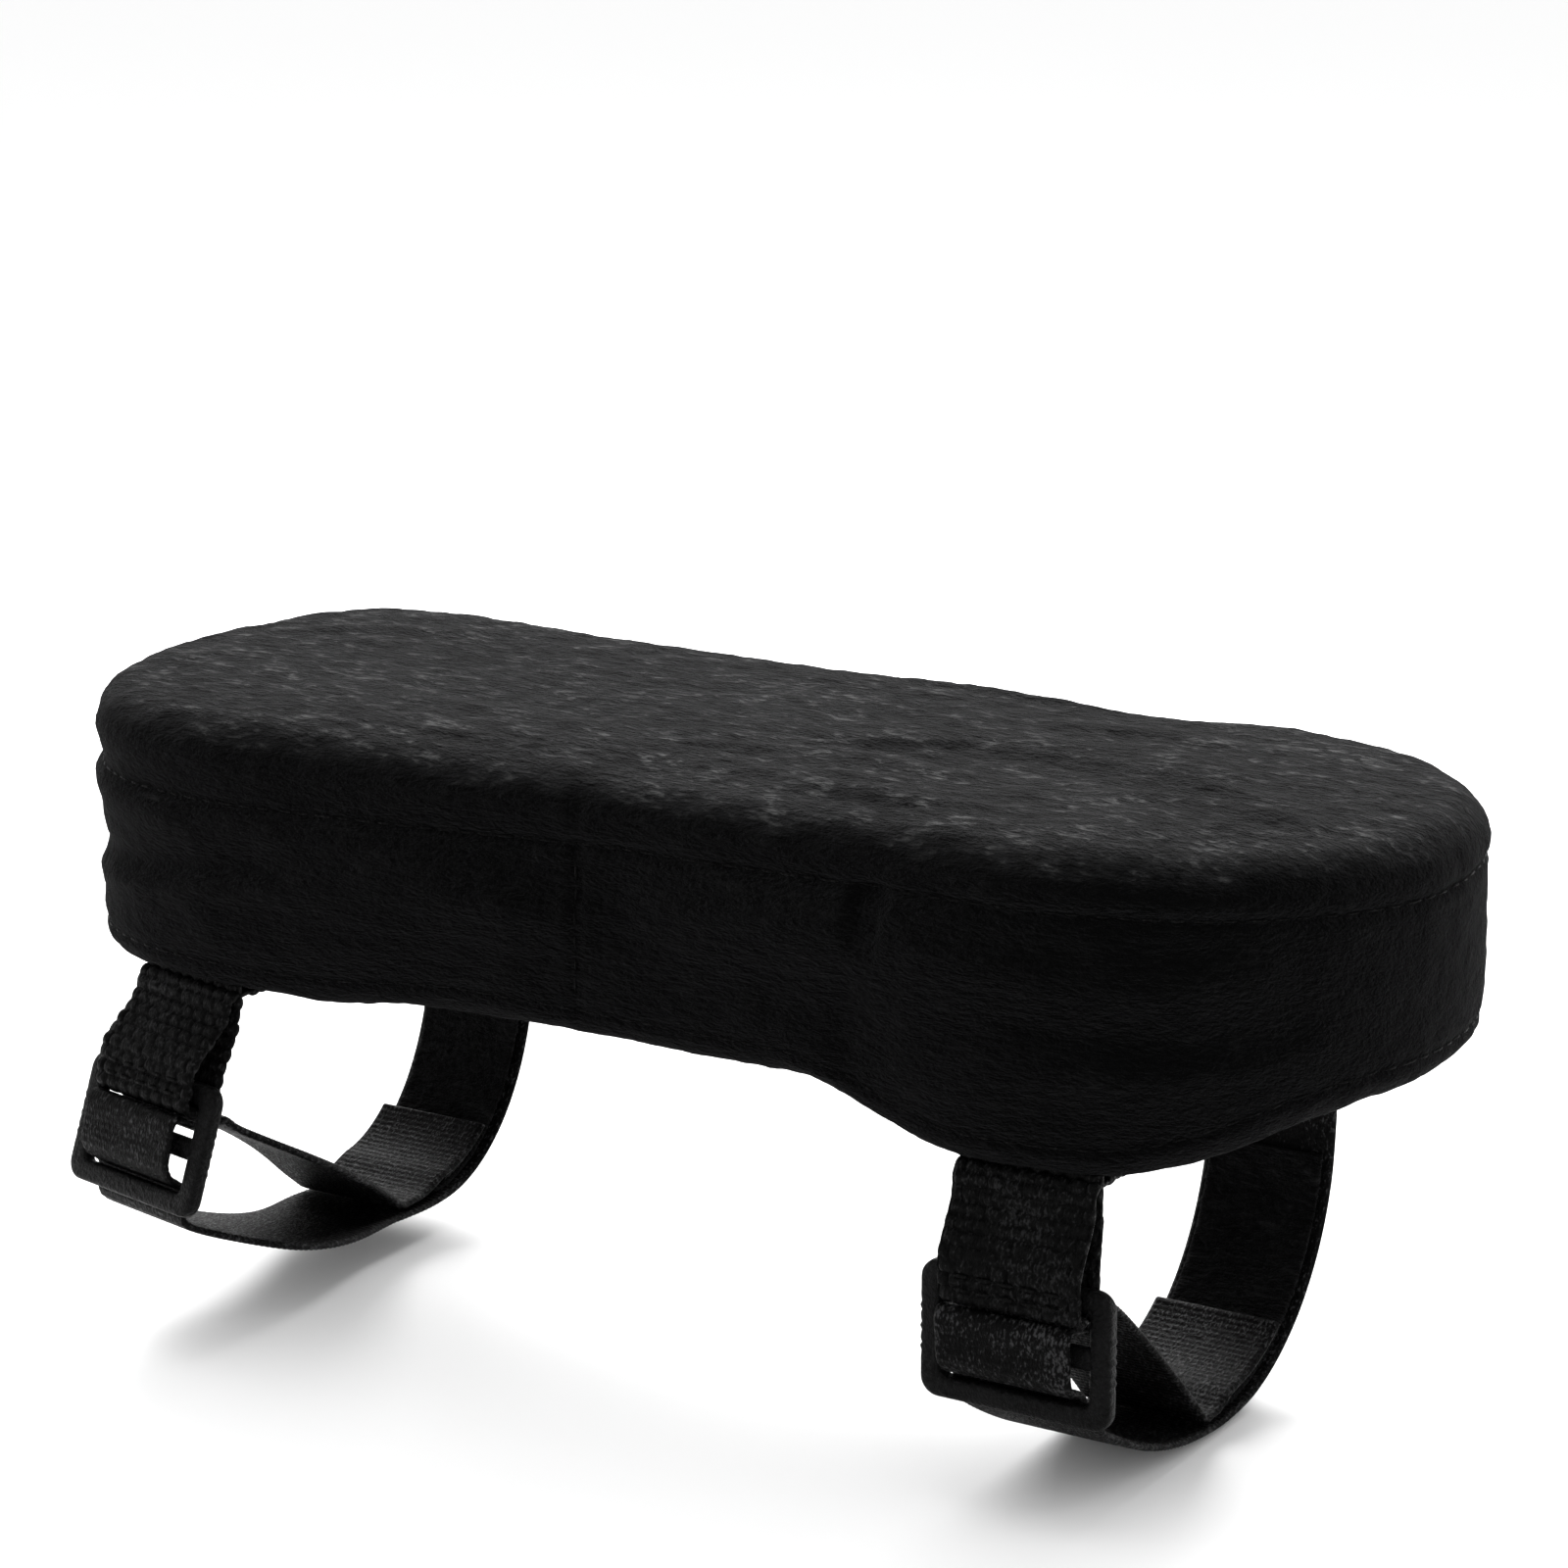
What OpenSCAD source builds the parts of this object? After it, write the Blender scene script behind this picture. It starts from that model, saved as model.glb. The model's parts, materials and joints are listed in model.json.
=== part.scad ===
// Chair armrest pad: a long foam cushion in a sewn plush cover with a zip in
// its far wall. Two webbing loops with slide buckles hang below it and go round
// the armrest. X runs along the pad towards its thick end, Y away from the
// buckles and Z up. The origin is the middle of the flat part of the underside,
// which rests on the armrest.

/* [Pad] */
// Overall length of the pad
pad_length = 219; // [216:1:226]
// Overall width of the pad
pad_width = 87; // [84:1:96]
// Height of the top above the flat middle of the underside
pad_height = 38; // [34:1:44]
// How far the thick end hangs below the flat middle
thick_end_drop = 6; // [0:1:10]
// How far the plain end hangs below the flat middle
plain_end_drop = 2; // [0:1:6]
// How far the underside rises again towards the tip of the thick end
thick_tip_rise = 10; // [0:1:10]
// Depth of the waist in the wall on the buckle side
waist_depth = 2.5; // [0:0.5:6]
// Radius of the rolled top edge
top_roll = 6.5; // [5:0.5:7]
// Radius of the bottom edge
bottom_roll = 4; // [3:0.5:5]

/* [Cover] */
// Thickness of the plush fabric
cover_thickness = 1.6; // [1.2:0.1:2]
// Depth of the top seam below the top at the thick end
seam_drop_thick = 8; // [8:0.5:10]
// Depth of the top seam below the top at the plain end
seam_drop_plain = 12; // [8:0.5:12]
// Clear space between the cover and the foam
foam_clearance = 1.2; // [1:0.1:2]

/* [Zip] */
// Height of the zip above the flat middle of the underside
zip_height = 14; // [13:0.5:16]
// Height of the window between the two strips of the far wall
zip_window = 8; // [7.5:0.5:8.5]

/* [Straps] */
// Width of the webbing
webbing_width = 20; // [18:0.5:21]
// Distance from the middle of the pad to the loop at the thick end
thick_loop_x = 65; // [63:1:67]
// Distance from the middle of the pad to the loop at the plain end
plain_loop_x = 76.5; // [72:0.5:78]
// Distance between the near and the far sewn end of a loop
loop_width = 74; // [72:1:76]
// Depth of a loop below the underside of the pad
loop_depth = 49; // [47:1:56]
// Turn of the buckle at the plain end about the vertical
plain_buckle_turn = -13; // [-15:1:0]
// How far the tab and the buckle at the plain end stand outwards
plain_buckle_pitch = 19; // [0:1:20]
// How far the lowest point of the loop at the thick end lies towards the far side
thick_low_y = 4; // [2:1:8]
// How far the lowest point of the loop at the plain end lies towards the far side
plain_low_y = 10; // [4:1:12]
// Thickness of the fine strap webbing
strap_thickness = 1.3; // [1:0.1:1.5]
// Thickness of the coarse buckle tab webbing
tab_thickness = 1.8; // [1.5:0.1:2]

/* [Buckle] */
// Outer width of the buckle
buckle_width = 29; // [28:0.2:31]
// Outer height of the buckle
buckle_height = 19.6; // [19:0.2:20.4]
// Thickness of the buckle
buckle_thickness = 2.6; // [2:0.1:3]
// Height of each of the buckle's three bars
bar_height = 3.2; // [2.8:0.1:3.4]
// Width of the window in the buckle
window_width = 22.4; // [21.4:0.2:23.4]

/* [Hidden] */
$fn = 32;
slack = 0.3;
half_length = pad_length / 2;
half_width = pad_width / 2;
foam_inset = cover_thickness + foam_clearance;
seam_gap = 0.15;

// The ends of the outline: how far each reaches in on the buckle side and on the
// far side, and how square it is
blunt_reach = [44, 28];
blunt_power = 2.25;
round_reach = [60, 45];
round_power = 2.1;
NEAR = 0;
FAR = 1;
end_steps = 10;
side_steps = 18;
outline_steps = 2 * end_steps + side_steps;
outline_count = 2 * outline_steps;
closing_seam_step = end_steps + 9;
zip_first_step = end_steps + 1;
zip_last_step = end_steps + side_steps - 1;

// The zip
zip_start = side_x(FAR, zip_first_step);
zip_end = side_x(FAR, zip_last_step);
tape_thickness = 0.6;
tape_face = half_width - cover_thickness - 0.1;
tooth_pitch = 1.5;
tooth_width = 0.9;
tooth_height = 3.2;
teeth_depth = 1.5;
slider_length = 9;
slider_x = zip_start + 8;
plate_face = tape_face + teeth_depth + slack;
plate_thickness = 1;
bail_y = plate_face + plate_thickness + 1.6;
bail_radius = 0.6;

// The buckle and the way the webbing goes through it
near_y = -loop_width / 2;
far_y = loop_width / 2;
buckle_y = near_y - 3;
buckle_top = -14.5;
slot_height = (buckle_height - 3 * bar_height) / 2;
upper_slot_z = buckle_top - bar_height - slot_height / 2;
middle_bar_z = upper_slot_z - (slot_height + bar_height) / 2;
lower_slot_z = middle_bar_z - (slot_height + bar_height) / 2;
bottom_bar_z = lower_slot_z - (slot_height + bar_height) / 2;
strap_off = buckle_thickness / 2 + slack + strap_thickness / 2;
tab_off = buckle_thickness / 2 + 1.5 * slack + tab_thickness / 2;

// The loop: its swing, its round and its tail
swing_z = -3;
swing_angle = 25;
tab_y = near_y - 1;
round_z = -14;
round_depth = loop_depth + round_z - strap_thickness / 2;
run_power = 2.2;
patch_thickness = 1;
patch_width = 18;
tail_lift = strap_thickness + 2 * patch_thickness + slack;
tail_landing = 94;
tail_tip_angle = 45;
root_bend = 1.6;

// ---- the pad's skin ----

// 0 before t = 0, 1 after t = 1 and smooth in between
function ease(t) = let (c = min(1, max(0, t))) c * c * (3 - 2 * c);

function mix(a, b, t) = a + (b - a) * t;

function reversed(list) = [for (i = [len(list) - 1:-1:0]) list[i]];

// Height of the underside at x: flat in the middle, lower at both ends, and
// rising again at the tip of the thick end
function underside(x) =
    -thick_end_drop * ease((x - 27) / 30)
    - plain_end_drop * ease((-x - 26) / 28)
    + thick_tip_rise * pow(ease((x + 38 - half_length) / 38), 1.5);

// Height of the seam between the top panel and the wall at x
function top_seam(x) =
    pad_height - mix(seam_drop_plain, seam_drop_thick, ease((x + half_length) / (0.8 * pad_length)));

// How far the wall on the buckle side stands back at x
function waist(x) = waist_depth * ease(1 - abs(x) / 75);

// Place along X of a step on the straight part of the near or the far side
function side_x(side, step) =
    mix(blunt_reach[side] - half_length, half_length - round_reach[side],
        (step - end_steps) / side_steps);

// A rounded quarter of the outline: t is 0 at the pad's tip and 1 where its side begins
function quarter(t, reach, width, power) = [
    reach * (1 - pow(cos(90 * t), 2 / power)),
    width * pow(sin(90 * t), 2 / power)
];

// The near or the far side of the outline, from the plain end's tip to the thick end's tip
function side_outline(side, inset) = concat(
    [for (i = [0:end_steps - 1])
        let (q = quarter(i / end_steps, blunt_reach[side] - inset, half_width - inset, blunt_power))
        [q.x + inset - half_length, q.y]],
    [for (i = [end_steps:end_steps + side_steps]) [side_x(side, i), half_width - inset]],
    [for (i = [end_steps - 1:-1:0])
        let (q = quarter(i / end_steps, round_reach[side] - inset, half_width - inset, round_power))
        [half_length - inset - q.x, q.y]]
);

// The whole outline, anticlockwise from the plain end's tip by way of the buckle side
function outline(inset) = let (far = side_outline(FAR, inset)) concat(
    [for (p = side_outline(NEAR, inset)) [p.x, min(0, waist(p.x) - p.y)]],
    [for (i = [outline_steps - 1:-1:1]) far[i]]
);

// Where a ring's height is counted from: the underside, the top seam, the top or the origin
UNDERSIDE = 0;
SEAM = 1;
TOP = 2;
ORIGIN = 3;
function level(kind, x) = [underside(x), top_seam(x), pad_height, 0][kind];

// A ring of the skin, from its inset, what its height is counted from, and that height
function ring(spec) = [for (p = outline(spec[0])) [p.x, p.y, level(spec[1], p.x) + spec[2]]];

// The rings round the bottom edge, going up, and round the top edge, going up
function bottom_edge(inset) = let (r = bottom_roll - inset) [
    for (a = [0:30:90]) [inset + r * (1 - sin(a)), UNDERSIDE, inset + r * (1 - cos(a))]
];
function top_edge(inset) = let (r = top_roll - inset) [
    for (a = [0:22.5:90]) [inset + r * (1 - cos(a)), TOP, -inset - r * (1 - sin(a))]
];

// Two triangles between outline steps i and j of rings a and b
function skin(a, b, i, j) = let (n = outline_count) [
    [a * n + i, b * n + i, b * n + j],
    [a * n + i, b * n + j, a * n + j]
];

// Triangles across the ring that starts at a point, facing up or down
function lid(start, up) =
    let (n = outline_count, m = outline_steps)
    [for (i = [0:m - 1]) each [
        if (i > 0) turned([start + i, start + n - i, start + n - i - 1], up),
        if (i < m - 1) turned([start + i, start + n - i - 1, start + i + 1], up)
    ]];

function turned(face, keep) = keep ? face : [face[0], face[2], face[1]];

// A closed solid, from the middle of its lowest face, round its rim, to the middle of its top face
module loft(specs) {
    last = len(specs) - 1;
    polyhedron(
        points = [for (s = specs) each ring(s)],
        faces = concat(
            lid(0, false),
            [for (r = [0:last - 1], i = [0:outline_count - 1])
                each skin(r, r + 1, i, (i + 1) % outline_count)],
            lid(last * outline_count, true)
        ),
        convexity = 4
    );
}

// A length of wall between two outline steps, with the rings as the corners of its section
module wall(specs, first, last) {
    rows = len(specs);
    steps = (last - first + outline_count) % outline_count;
    polyhedron(
        points = [for (s = specs) each ring(s)],
        faces = concat(
            [for (r = [0:rows - 1], k = [0:steps - 1])
                each skin(r, (r + 1) % rows, (first + k) % outline_count,
                    (first + k + 1) % outline_count)],
            [[for (r = [rows - 1:-1:0]) r * outline_count + first % outline_count]],
            [[for (r = [0:rows - 1]) r * outline_count + last % outline_count]]
        ),
        convexity = 4
    );
}

// The section of the wall between two heights, each a kind and an offset
function wall_section(low, high) = [
    [0, low[0], low[1]],
    [0, high[0], high[1]],
    [cover_thickness, high[0], high[1]],
    [cover_thickness, low[0], low[1]]
];

wall_low = [UNDERSIDE, bottom_roll + seam_gap];
wall_high = [SEAM, -seam_gap];

// ---- foam and cover ----

module foam_core() {
    color("gold")
        loft(concat(bottom_edge(foam_inset), top_edge(foam_inset)));
}

module cover_top_panel() {
    color([0.16, 0.16, 0.17])
        loft(concat(
            reversed(top_edge(cover_thickness)),
            [[cover_thickness, SEAM, seam_gap], [0, SEAM, seam_gap]],
            top_edge(0)
        ));
}

module cover_bottom_panel() {
    color([0.12, 0.12, 0.13])
        loft(concat(bottom_edge(0), reversed(bottom_edge(cover_thickness))));
}

module wall_band_plain_end() {
    color([0.13, 0.13, 0.14])
        wall(wall_section(wall_low, wall_high), outline_count - zip_first_step,
            outline_count + closing_seam_step);
}

module wall_band_thick_end() {
    color([0.14, 0.14, 0.15])
        wall(wall_section(wall_low, wall_high), closing_seam_step,
            outline_count - zip_last_step);
}

module wall_strip_upper() {
    color([0.14, 0.14, 0.15])
        wall(wall_section([ORIGIN, zip_height + zip_window / 2], wall_high),
            outline_count - zip_last_step, outline_count - zip_first_step);
}

module wall_strip_lower() {
    color([0.13, 0.13, 0.14])
        wall(wall_section(wall_low, [ORIGIN, zip_height - zip_window / 2]),
            outline_count - zip_last_step, outline_count - zip_first_step);
}

// ---- seams ----

stitch_length = 2.4;
stitch_width = 0.5;
stitch_gap = 0.1;

module stitch() {
    cube([stitch_length, stitch_width, stitch_width], center = true);
}

// Two stitches on the outside of each step of a ring
module stitch_round(spec) {
    points = ring(spec);
    for (i = [0:outline_count - 1]) {
        p = points[i];
        q = points[(i + 1) % outline_count];
        along = q - p;
        for (t = [0.25, 0.75])
            translate(p + t * along)
                rotate([0, 0, atan2(along.y, along.x)])
                    translate([0, -stitch_gap - stitch_width / 2, 0])
                        stitch();
    }
}

module top_seam_stitches() {
    color([0.05, 0.05, 0.05])
        stitch_round([0, SEAM, 0]);
}

module bottom_seam_stitches() {
    color([0.05, 0.05, 0.05])
        stitch_round([0, UNDERSIDE, bottom_roll + 0.3]);
}

module closing_seam_stitches() {
    seam_x = side_x(NEAR, closing_seam_step);
    low = bottom_roll + 3;
    high = top_seam(seam_x) - 3;
    count = floor((high - low) / 3.4);
    color([0.05, 0.05, 0.05])
        for (i = [0:count])
            translate([seam_x, waist(seam_x) - half_width - stitch_gap - stitch_width / 2,
                mix(low, high, i / count)])
                rotate([0, 90, 0])
                    stitch();
}

// ---- zip ----

// One tape of the zip, on the side of the teeth that sign gives
module zip_tape(sign) {
    tape_height = zip_window / 2 + 2;
    color([0.08, 0.08, 0.09])
        translate([zip_start, tape_face - tape_thickness,
            zip_height + (sign > 0 ? 0.1 : -0.1 - tape_height)])
            cube([zip_end - zip_start, tape_thickness, tape_height]);
}

module zip_tape_upper() zip_tape(1);

module zip_tape_lower() zip_tape(-1);

module zip_teeth() {
    count = floor((zip_end - zip_start - 8) / tooth_pitch);
    color([0.1, 0.1, 0.11])
        for (i = [0:count])
            translate([zip_start + 4 + i * tooth_pitch, tape_face, zip_height - tooth_height / 2])
                cube([tooth_width, teeth_depth, tooth_height]);
}

module zip_stops() {
    color([0.1, 0.1, 0.11])
        for (x = [zip_start + 0.8, zip_end - 2.8])
            translate([x, tape_face, zip_height - tooth_height / 2])
                cube([2, teeth_depth, tooth_height]);
}

// A plate with round corners, centred, lying in X and Y
module rounded_plate(width, height, radius, thickness) {
    linear_extrude(thickness, center = true) {
        square([width - 2 * radius, height], center = true);
        square([width, height - 2 * radius], center = true);
        for (x = [-1, 1], y = [-1, 1])
            translate([x * (width / 2 - radius), y * (height / 2 - radius)])
                circle(radius);
    }
}

module zip_slider() {
    flange = 1;
    flange_z = tooth_height / 2 + slack + flange / 2;
    flange_depth = teeth_depth + plate_thickness;
    post_y = plate_face + plate_thickness;
    color([0.2, 0.2, 0.21])
        translate([slider_x, 0, zip_height]) {
            translate([0, plate_face + plate_thickness / 2, 0])
                rotate([90, 0, 0])
                    rounded_plate(slider_length, 7, 2, plate_thickness);
            for (z = [-flange_z, flange_z])
                translate([0, tape_face + slack + flange_depth / 2, z])
                    cube([slider_length - 3, flange_depth, flange], center = true);
            for (z = [-2.9, 2.9])
                translate([0, (post_y + bail_y + 1) / 2, z])
                    cube([2, bail_y + 1 - post_y, 0.9], center = true);
            translate([0, bail_y, 0])
                cylinder(r = bail_radius, h = 5.6, center = true);
        }
}

module zip_pull() {
    pull_length = 15;
    pull_width = 4.2;
    eye_width = 4;
    color([0.2, 0.2, 0.21])
        translate([slider_x, bail_y, zip_height])
            difference() {
                union() {
                    cylinder(r = 1.2, h = eye_width, center = true);
                    translate([pull_length / 2, -0.6, 0])
                        rotate([90, 0, 0])
                            rounded_plate(pull_length, pull_width, 2, 1);
                }
                cylinder(r = bail_radius + 0.05, h = 2 * eye_width, center = true);
                translate([pull_length - 3, 0, 0])
                    rotate([90, 0, 0])
                        cylinder(r = 1.1, h = 6, center = true);
            }
}

// ---- webbing ----

// One span of a smooth curve from b to c, with a before it and d after it
function span(a, b, c, d, t) =
    0.5 * (2 * b + (c - a) * t + (2 * a - 5 * b + 4 * c - d) * t * t
        + (3 * b - a - 3 * c + d) * t * t * t);

// A smooth curve through points, each a [y, z] pair
function curve(points, steps = 4) =
    let (n = len(points))
    [for (i = [0:n - 2], k = [0:steps - 1])
        span(points[max(0, i - 1)], points[i], points[i + 1], points[min(n - 1, i + 2)], k / steps),
        points[n - 1]];

// Unit normal of a path at a point, to the left of its way
function path_normal(path, i) =
    let (n = len(path), d = path[min(n - 1, i + 1)] - path[max(0, i - 1)])
    [-d.y, d.x] / norm(d);

// The outline of a band that follows a path
function band(path, thickness) = concat(
    [for (i = [0:len(path) - 1]) path[i] + path_normal(path, i) * thickness / 2],
    [for (i = [len(path) - 1:-1:0]) path[i] - path_normal(path, i) * thickness / 2]
);

// Webbing of a width along X that follows a path in Y and Z
module webbing(path, thickness, width) {
    rotate([90, 0, 90])
        linear_extrude(width, center = true)
            polygon(band(path, thickness));
}

// A point turned about the vertical through the buckle: wholly near the buckle, and
// less and less towards the middle of the loop
function twisted(p, turn) =
    let (a = turn * ease(-p.y / 30), y = p.y - buckle_y)
    [p.x * cos(a) - y * sin(a), p.x * sin(a) + y * cos(a) + buckle_y, p.z];

// Webbing that also twists with the turn of the buckle
module twisted_webbing(path, thickness, width, turn) {
    rows = len(path);
    half = width / 2;
    points = [for (i = [0:rows - 1])
        let (n = path_normal(path, i) * thickness / 2, low = path[i] - n, high = path[i] + n)
        each [for (p = [[-half, low.x, low.y], [half, low.x, low.y],
                [half, high.x, high.y], [-half, high.x, high.y]])
            twisted(p, turn)]];
    polyhedron(
        points = points,
        faces = concat(
            [[0, 1, 2, 3]],
            [for (r = [0:rows - 2], k = [0:3])
                let (a = 4 * r + k, b = 4 * r + (k + 1) % 4)
                each [[a, a + 4, b + 4], [a, b + 4, b]]],
            [[4 * rows - 1, 4 * rows - 2, 4 * rows - 3, 4 * rows - 4]]
        ),
        convexity = 6
    );
}

// A point of the tab, the buckle or the webbing in it, standing outwards by the pitch
function pitched(p, pitch) =
    let (y = p.x - tab_y, z = p.y - swing_z)
    [tab_y + y * cos(pitch) + z * sin(pitch), swing_z - y * sin(pitch) + z * cos(pitch)];

// Where the strap goes in under the buckle's bottom bar
function strap_entry(pitch) = pitched([buckle_y + 4.6, bottom_bar_z - 3.4], pitch);

// A point of the loop's round part, lifted off the strap's middle towards the inside.
// Up to 90 it is a quarter ellipse, from the far side to the lowest point. From there to
// 180 it rises more and more towards the buckle
function round_point(a, low_y, pitch, lift) =
    let (t = (a - 90) / 90, end = strap_entry(pitch))
    a <= 90
        ? [low_y + (far_y - low_y - lift) * cos(a), round_z - (round_depth - lift) * sin(a)]
        : [mix(low_y, end.x, t), mix(round_z - round_depth, end.y, pow(t, run_power)) + lift];

// The strap: down from the far side, round the bottom and up through the buckle
function strap_path(low_y, pitch) = curve(concat(
    [[far_y, swing_z - 0.2], [far_y, -8]],
    [for (a = [0:15:165]) round_point(a, low_y, pitch, 0)],
    [for (p = [
        [buckle_y + 4.6, bottom_bar_z - 3.4],
        [buckle_y + strap_off + 0.3, bottom_bar_z - 1],
        [buckle_y + strap_off, bottom_bar_z + 1.6],
        [buckle_y + 1.5, lower_slot_z - 0.6],
        [buckle_y - 1.2, lower_slot_z + 0.8],
        [buckle_y - strap_off - 0.1, middle_bar_z - 1.6],
        [buckle_y - strap_off - 0.3, middle_bar_z],
        [buckle_y - strap_off - 0.1, middle_bar_z + 1.7],
        [buckle_y - 1.3, upper_slot_z - 1.05],
        [buckle_y + 1, upper_slot_z - 1.1],
        [buckle_y + 2.4, upper_slot_z - 1.2]
    ]) pitched(p, pitch)]
));

// The tail: from behind the buckle down onto the inside of the strap
function tail_path(low_y, pitch) =
    let (
        root = pitched([buckle_y + 2.9, upper_slot_z - 1.3], pitch),
        start = pitched([buckle_y + 7, upper_slot_z - 1.8], pitch),
        landing = round_point(tail_landing, low_y, pitch, tail_lift)
    )
    curve(concat(
        [root],
        [for (t = [0:0.3:0.9]) mix(start, landing, t) + [0, 8 * t * (1 - t)]],
        [for (a = [tail_landing:-7:tail_tip_angle]) round_point(a, low_y, pitch, tail_lift)]
    ));

// The tab: two layers of coarse webbing that hang from the pad and go round the top bar
function tab_path() =
    let (
        bar_bottom = buckle_top - bar_height,
        half = tab_thickness / 2 + 0.1,
        corner = buckle_thickness / 2,
        bend = tab_off - corner
    )
    concat(
        curve([
            [tab_y - half, swing_z - 0.2],
            [tab_y - half - 0.3, -6],
            [buckle_y - tab_off, buckle_top + 2.2],
            [buckle_y - tab_off, buckle_top - 1]
        ]),
        [for (a = [180:22.5:270]) [buckle_y - corner + bend * cos(a), bar_bottom + bend * sin(a)]],
        [for (a = [270:22.5:360]) [buckle_y + corner + bend * cos(a), bar_bottom + bend * sin(a)]],
        curve([
            [buckle_y + tab_off, buckle_top - 1],
            [buckle_y + tab_off, buckle_top + 2.2],
            [tab_y + half + 0.3, -6],
            [tab_y + half, swing_z - 0.2]
        ])
    );

// The front view of what swings: its top is cut back on both sides, so that it clears the pad
module swing_room(width, y) {
    drop = width / 2 * tan(swing_angle + 2);
    translate([0, y, 0])
        rotate([90, 0, 0])
            linear_extrude(20, center = true)
                polygon([
                    [-width / 2, -2 * loop_depth], [width / 2, -2 * loop_depth],
                    [width / 2, swing_z - drop], [0, swing_z], [-width / 2, swing_z - drop]
                ]);
}

// Turns a rigid piece about the vertical through the buckle
module buckle_turned(turn) {
    translate([0, buckle_y, 0])
        rotate([0, 0, turn])
            translate([0, -buckle_y, 0])
                children();
}

// Makes a rigid piece stand outwards, then turns it
module buckle_placed(turn, pitch) {
    buckle_turned(turn)
        translate([0, tab_y, swing_z])
            rotate([-pitch, 0, 0])
                translate([0, -tab_y, -swing_z])
                    children();
}

// ---- the pieces of one strap loop, with the pad's underside at z = 0 ----

// A root: flat against the underside, then bent down at y
function root_path(y, length, z, inwards) = concat(
    [[y + inwards * length, z]],
    [for (a = [90:-22.5:0]) [y + inwards * root_bend * (1 - cos(a)), z - root_bend * (1 - sin(a))]]
);

module tab_root() {
    leaf_z = -0.1 - tab_thickness / 2;
    color([0.06, 0.06, 0.06])
        webbing(root_path(tab_y, 16, leaf_z, 1), tab_thickness, webbing_width);
}

module strap_root() {
    leaf_z = -0.1 - strap_thickness / 2;
    color([0.08, 0.08, 0.08])
        webbing(root_path(far_y, 15, leaf_z, -1), strap_thickness, webbing_width);
}

// Rows of stitches that hold the two roots to the underside, seen from below
module root_stitches() {
    row_length = webbing_width - 5;
    color([0.03, 0.03, 0.03])
        for (root = [[near_y + 4, tab_thickness], [far_y - 13, strap_thickness]], row = [0, 4.5, 9])
            for (x = [-row_length / 2:3.6:row_length / 2])
                translate([x, root[0] + row, -0.1 - root[1] - stitch_gap - stitch_width / 2])
                    stitch();
}

module buckle_tab() {
    color([0.06, 0.06, 0.06])
        intersection() {
            webbing(tab_path(), tab_thickness, webbing_width);
            swing_room(webbing_width, buckle_y);
        }
}

// The two lines of stitching across the front of the tab
module tab_stitches() {
    row_length = webbing_width - 4;
    color([0.03, 0.03, 0.03])
        for (z = [buckle_top - 0.6, buckle_top - 2.6], x = [-row_length / 2:3.2:row_length / 2])
            translate([x, buckle_y - tab_off - tab_thickness / 2 - stitch_gap - stitch_width / 2, z])
                stitch();
}

// The buckle: a frame with a bar across the middle of its window
module buckle() {
    color([0.12, 0.12, 0.12])
        translate([0, buckle_y, buckle_top - buckle_height / 2])
            rotate([90, 0, 0]) {
                difference() {
                    rounded_plate(buckle_width, buckle_height, 3, buckle_thickness);
                    rounded_plate(window_width, buckle_height - 2 * bar_height, 1, 2 * buckle_thickness);
                }
                cube([window_width + 1, bar_height, buckle_thickness - 0.4], center = true);
            }
}

module strap(low_y, turn, pitch) {
    color([0.09, 0.09, 0.09])
        intersection() {
            twisted_webbing(strap_path(low_y, pitch), strap_thickness, webbing_width, turn);
            union() {
                swing_room(webbing_width, far_y);
                translate([-webbing_width, buckle_y - 25, -2 * loop_depth])
                    cube([2 * webbing_width, far_y - buckle_y + 15, 2 * loop_depth]);
            }
        }
}

module strap_tail(low_y, turn, pitch) {
    color([0.09, 0.09, 0.09])
        twisted_webbing(tail_path(low_y, pitch), strap_thickness, webbing_width, turn);
}

// A patch that lies on the round part of the strap or its tail, between two angles
module patch(from, to, lift, low_y) {
    path = [for (a = [to:(from - to) / 8:from]) round_point(a, low_y, 0, lift)];
    twisted_webbing(path, patch_thickness, patch_width, 0);
}

module hook_patch(low_y) {
    color([0.05, 0.05, 0.05])
        patch(tail_tip_angle + 4, tail_landing - 12,
            tail_lift - (strap_thickness + patch_thickness) / 2 - 0.1, low_y);
}

module loop_patch(low_y) {
    color([0.1, 0.1, 0.1])
        patch(tail_tip_angle - 15, tail_landing - 6,
            (strap_thickness + patch_thickness) / 2 + 0.1, low_y);
}

// The two places of a loop
module at_thick_end() {
    translate([thick_loop_x, 0, underside(thick_loop_x)])
        children();
}

module at_plain_end() {
    translate([-plain_loop_x, 0, underside(-plain_loop_x)])
        children();
}

module tab_root_thick() at_thick_end() tab_root();
module buckle_tab_thick() at_thick_end() buckle_tab();
module tab_stitches_thick() at_thick_end() tab_stitches();
module buckle_thick() at_thick_end() buckle();
module strap_root_thick() at_thick_end() strap_root();
module root_stitches_thick() at_thick_end() root_stitches();
module strap_thick() at_thick_end() strap(thick_low_y, 0, 0);
module strap_tail_thick() at_thick_end() strap_tail(thick_low_y, 0, 0);
module hook_patch_thick() at_thick_end() hook_patch(thick_low_y);
module loop_patch_thick() at_thick_end() loop_patch(thick_low_y);

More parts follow.
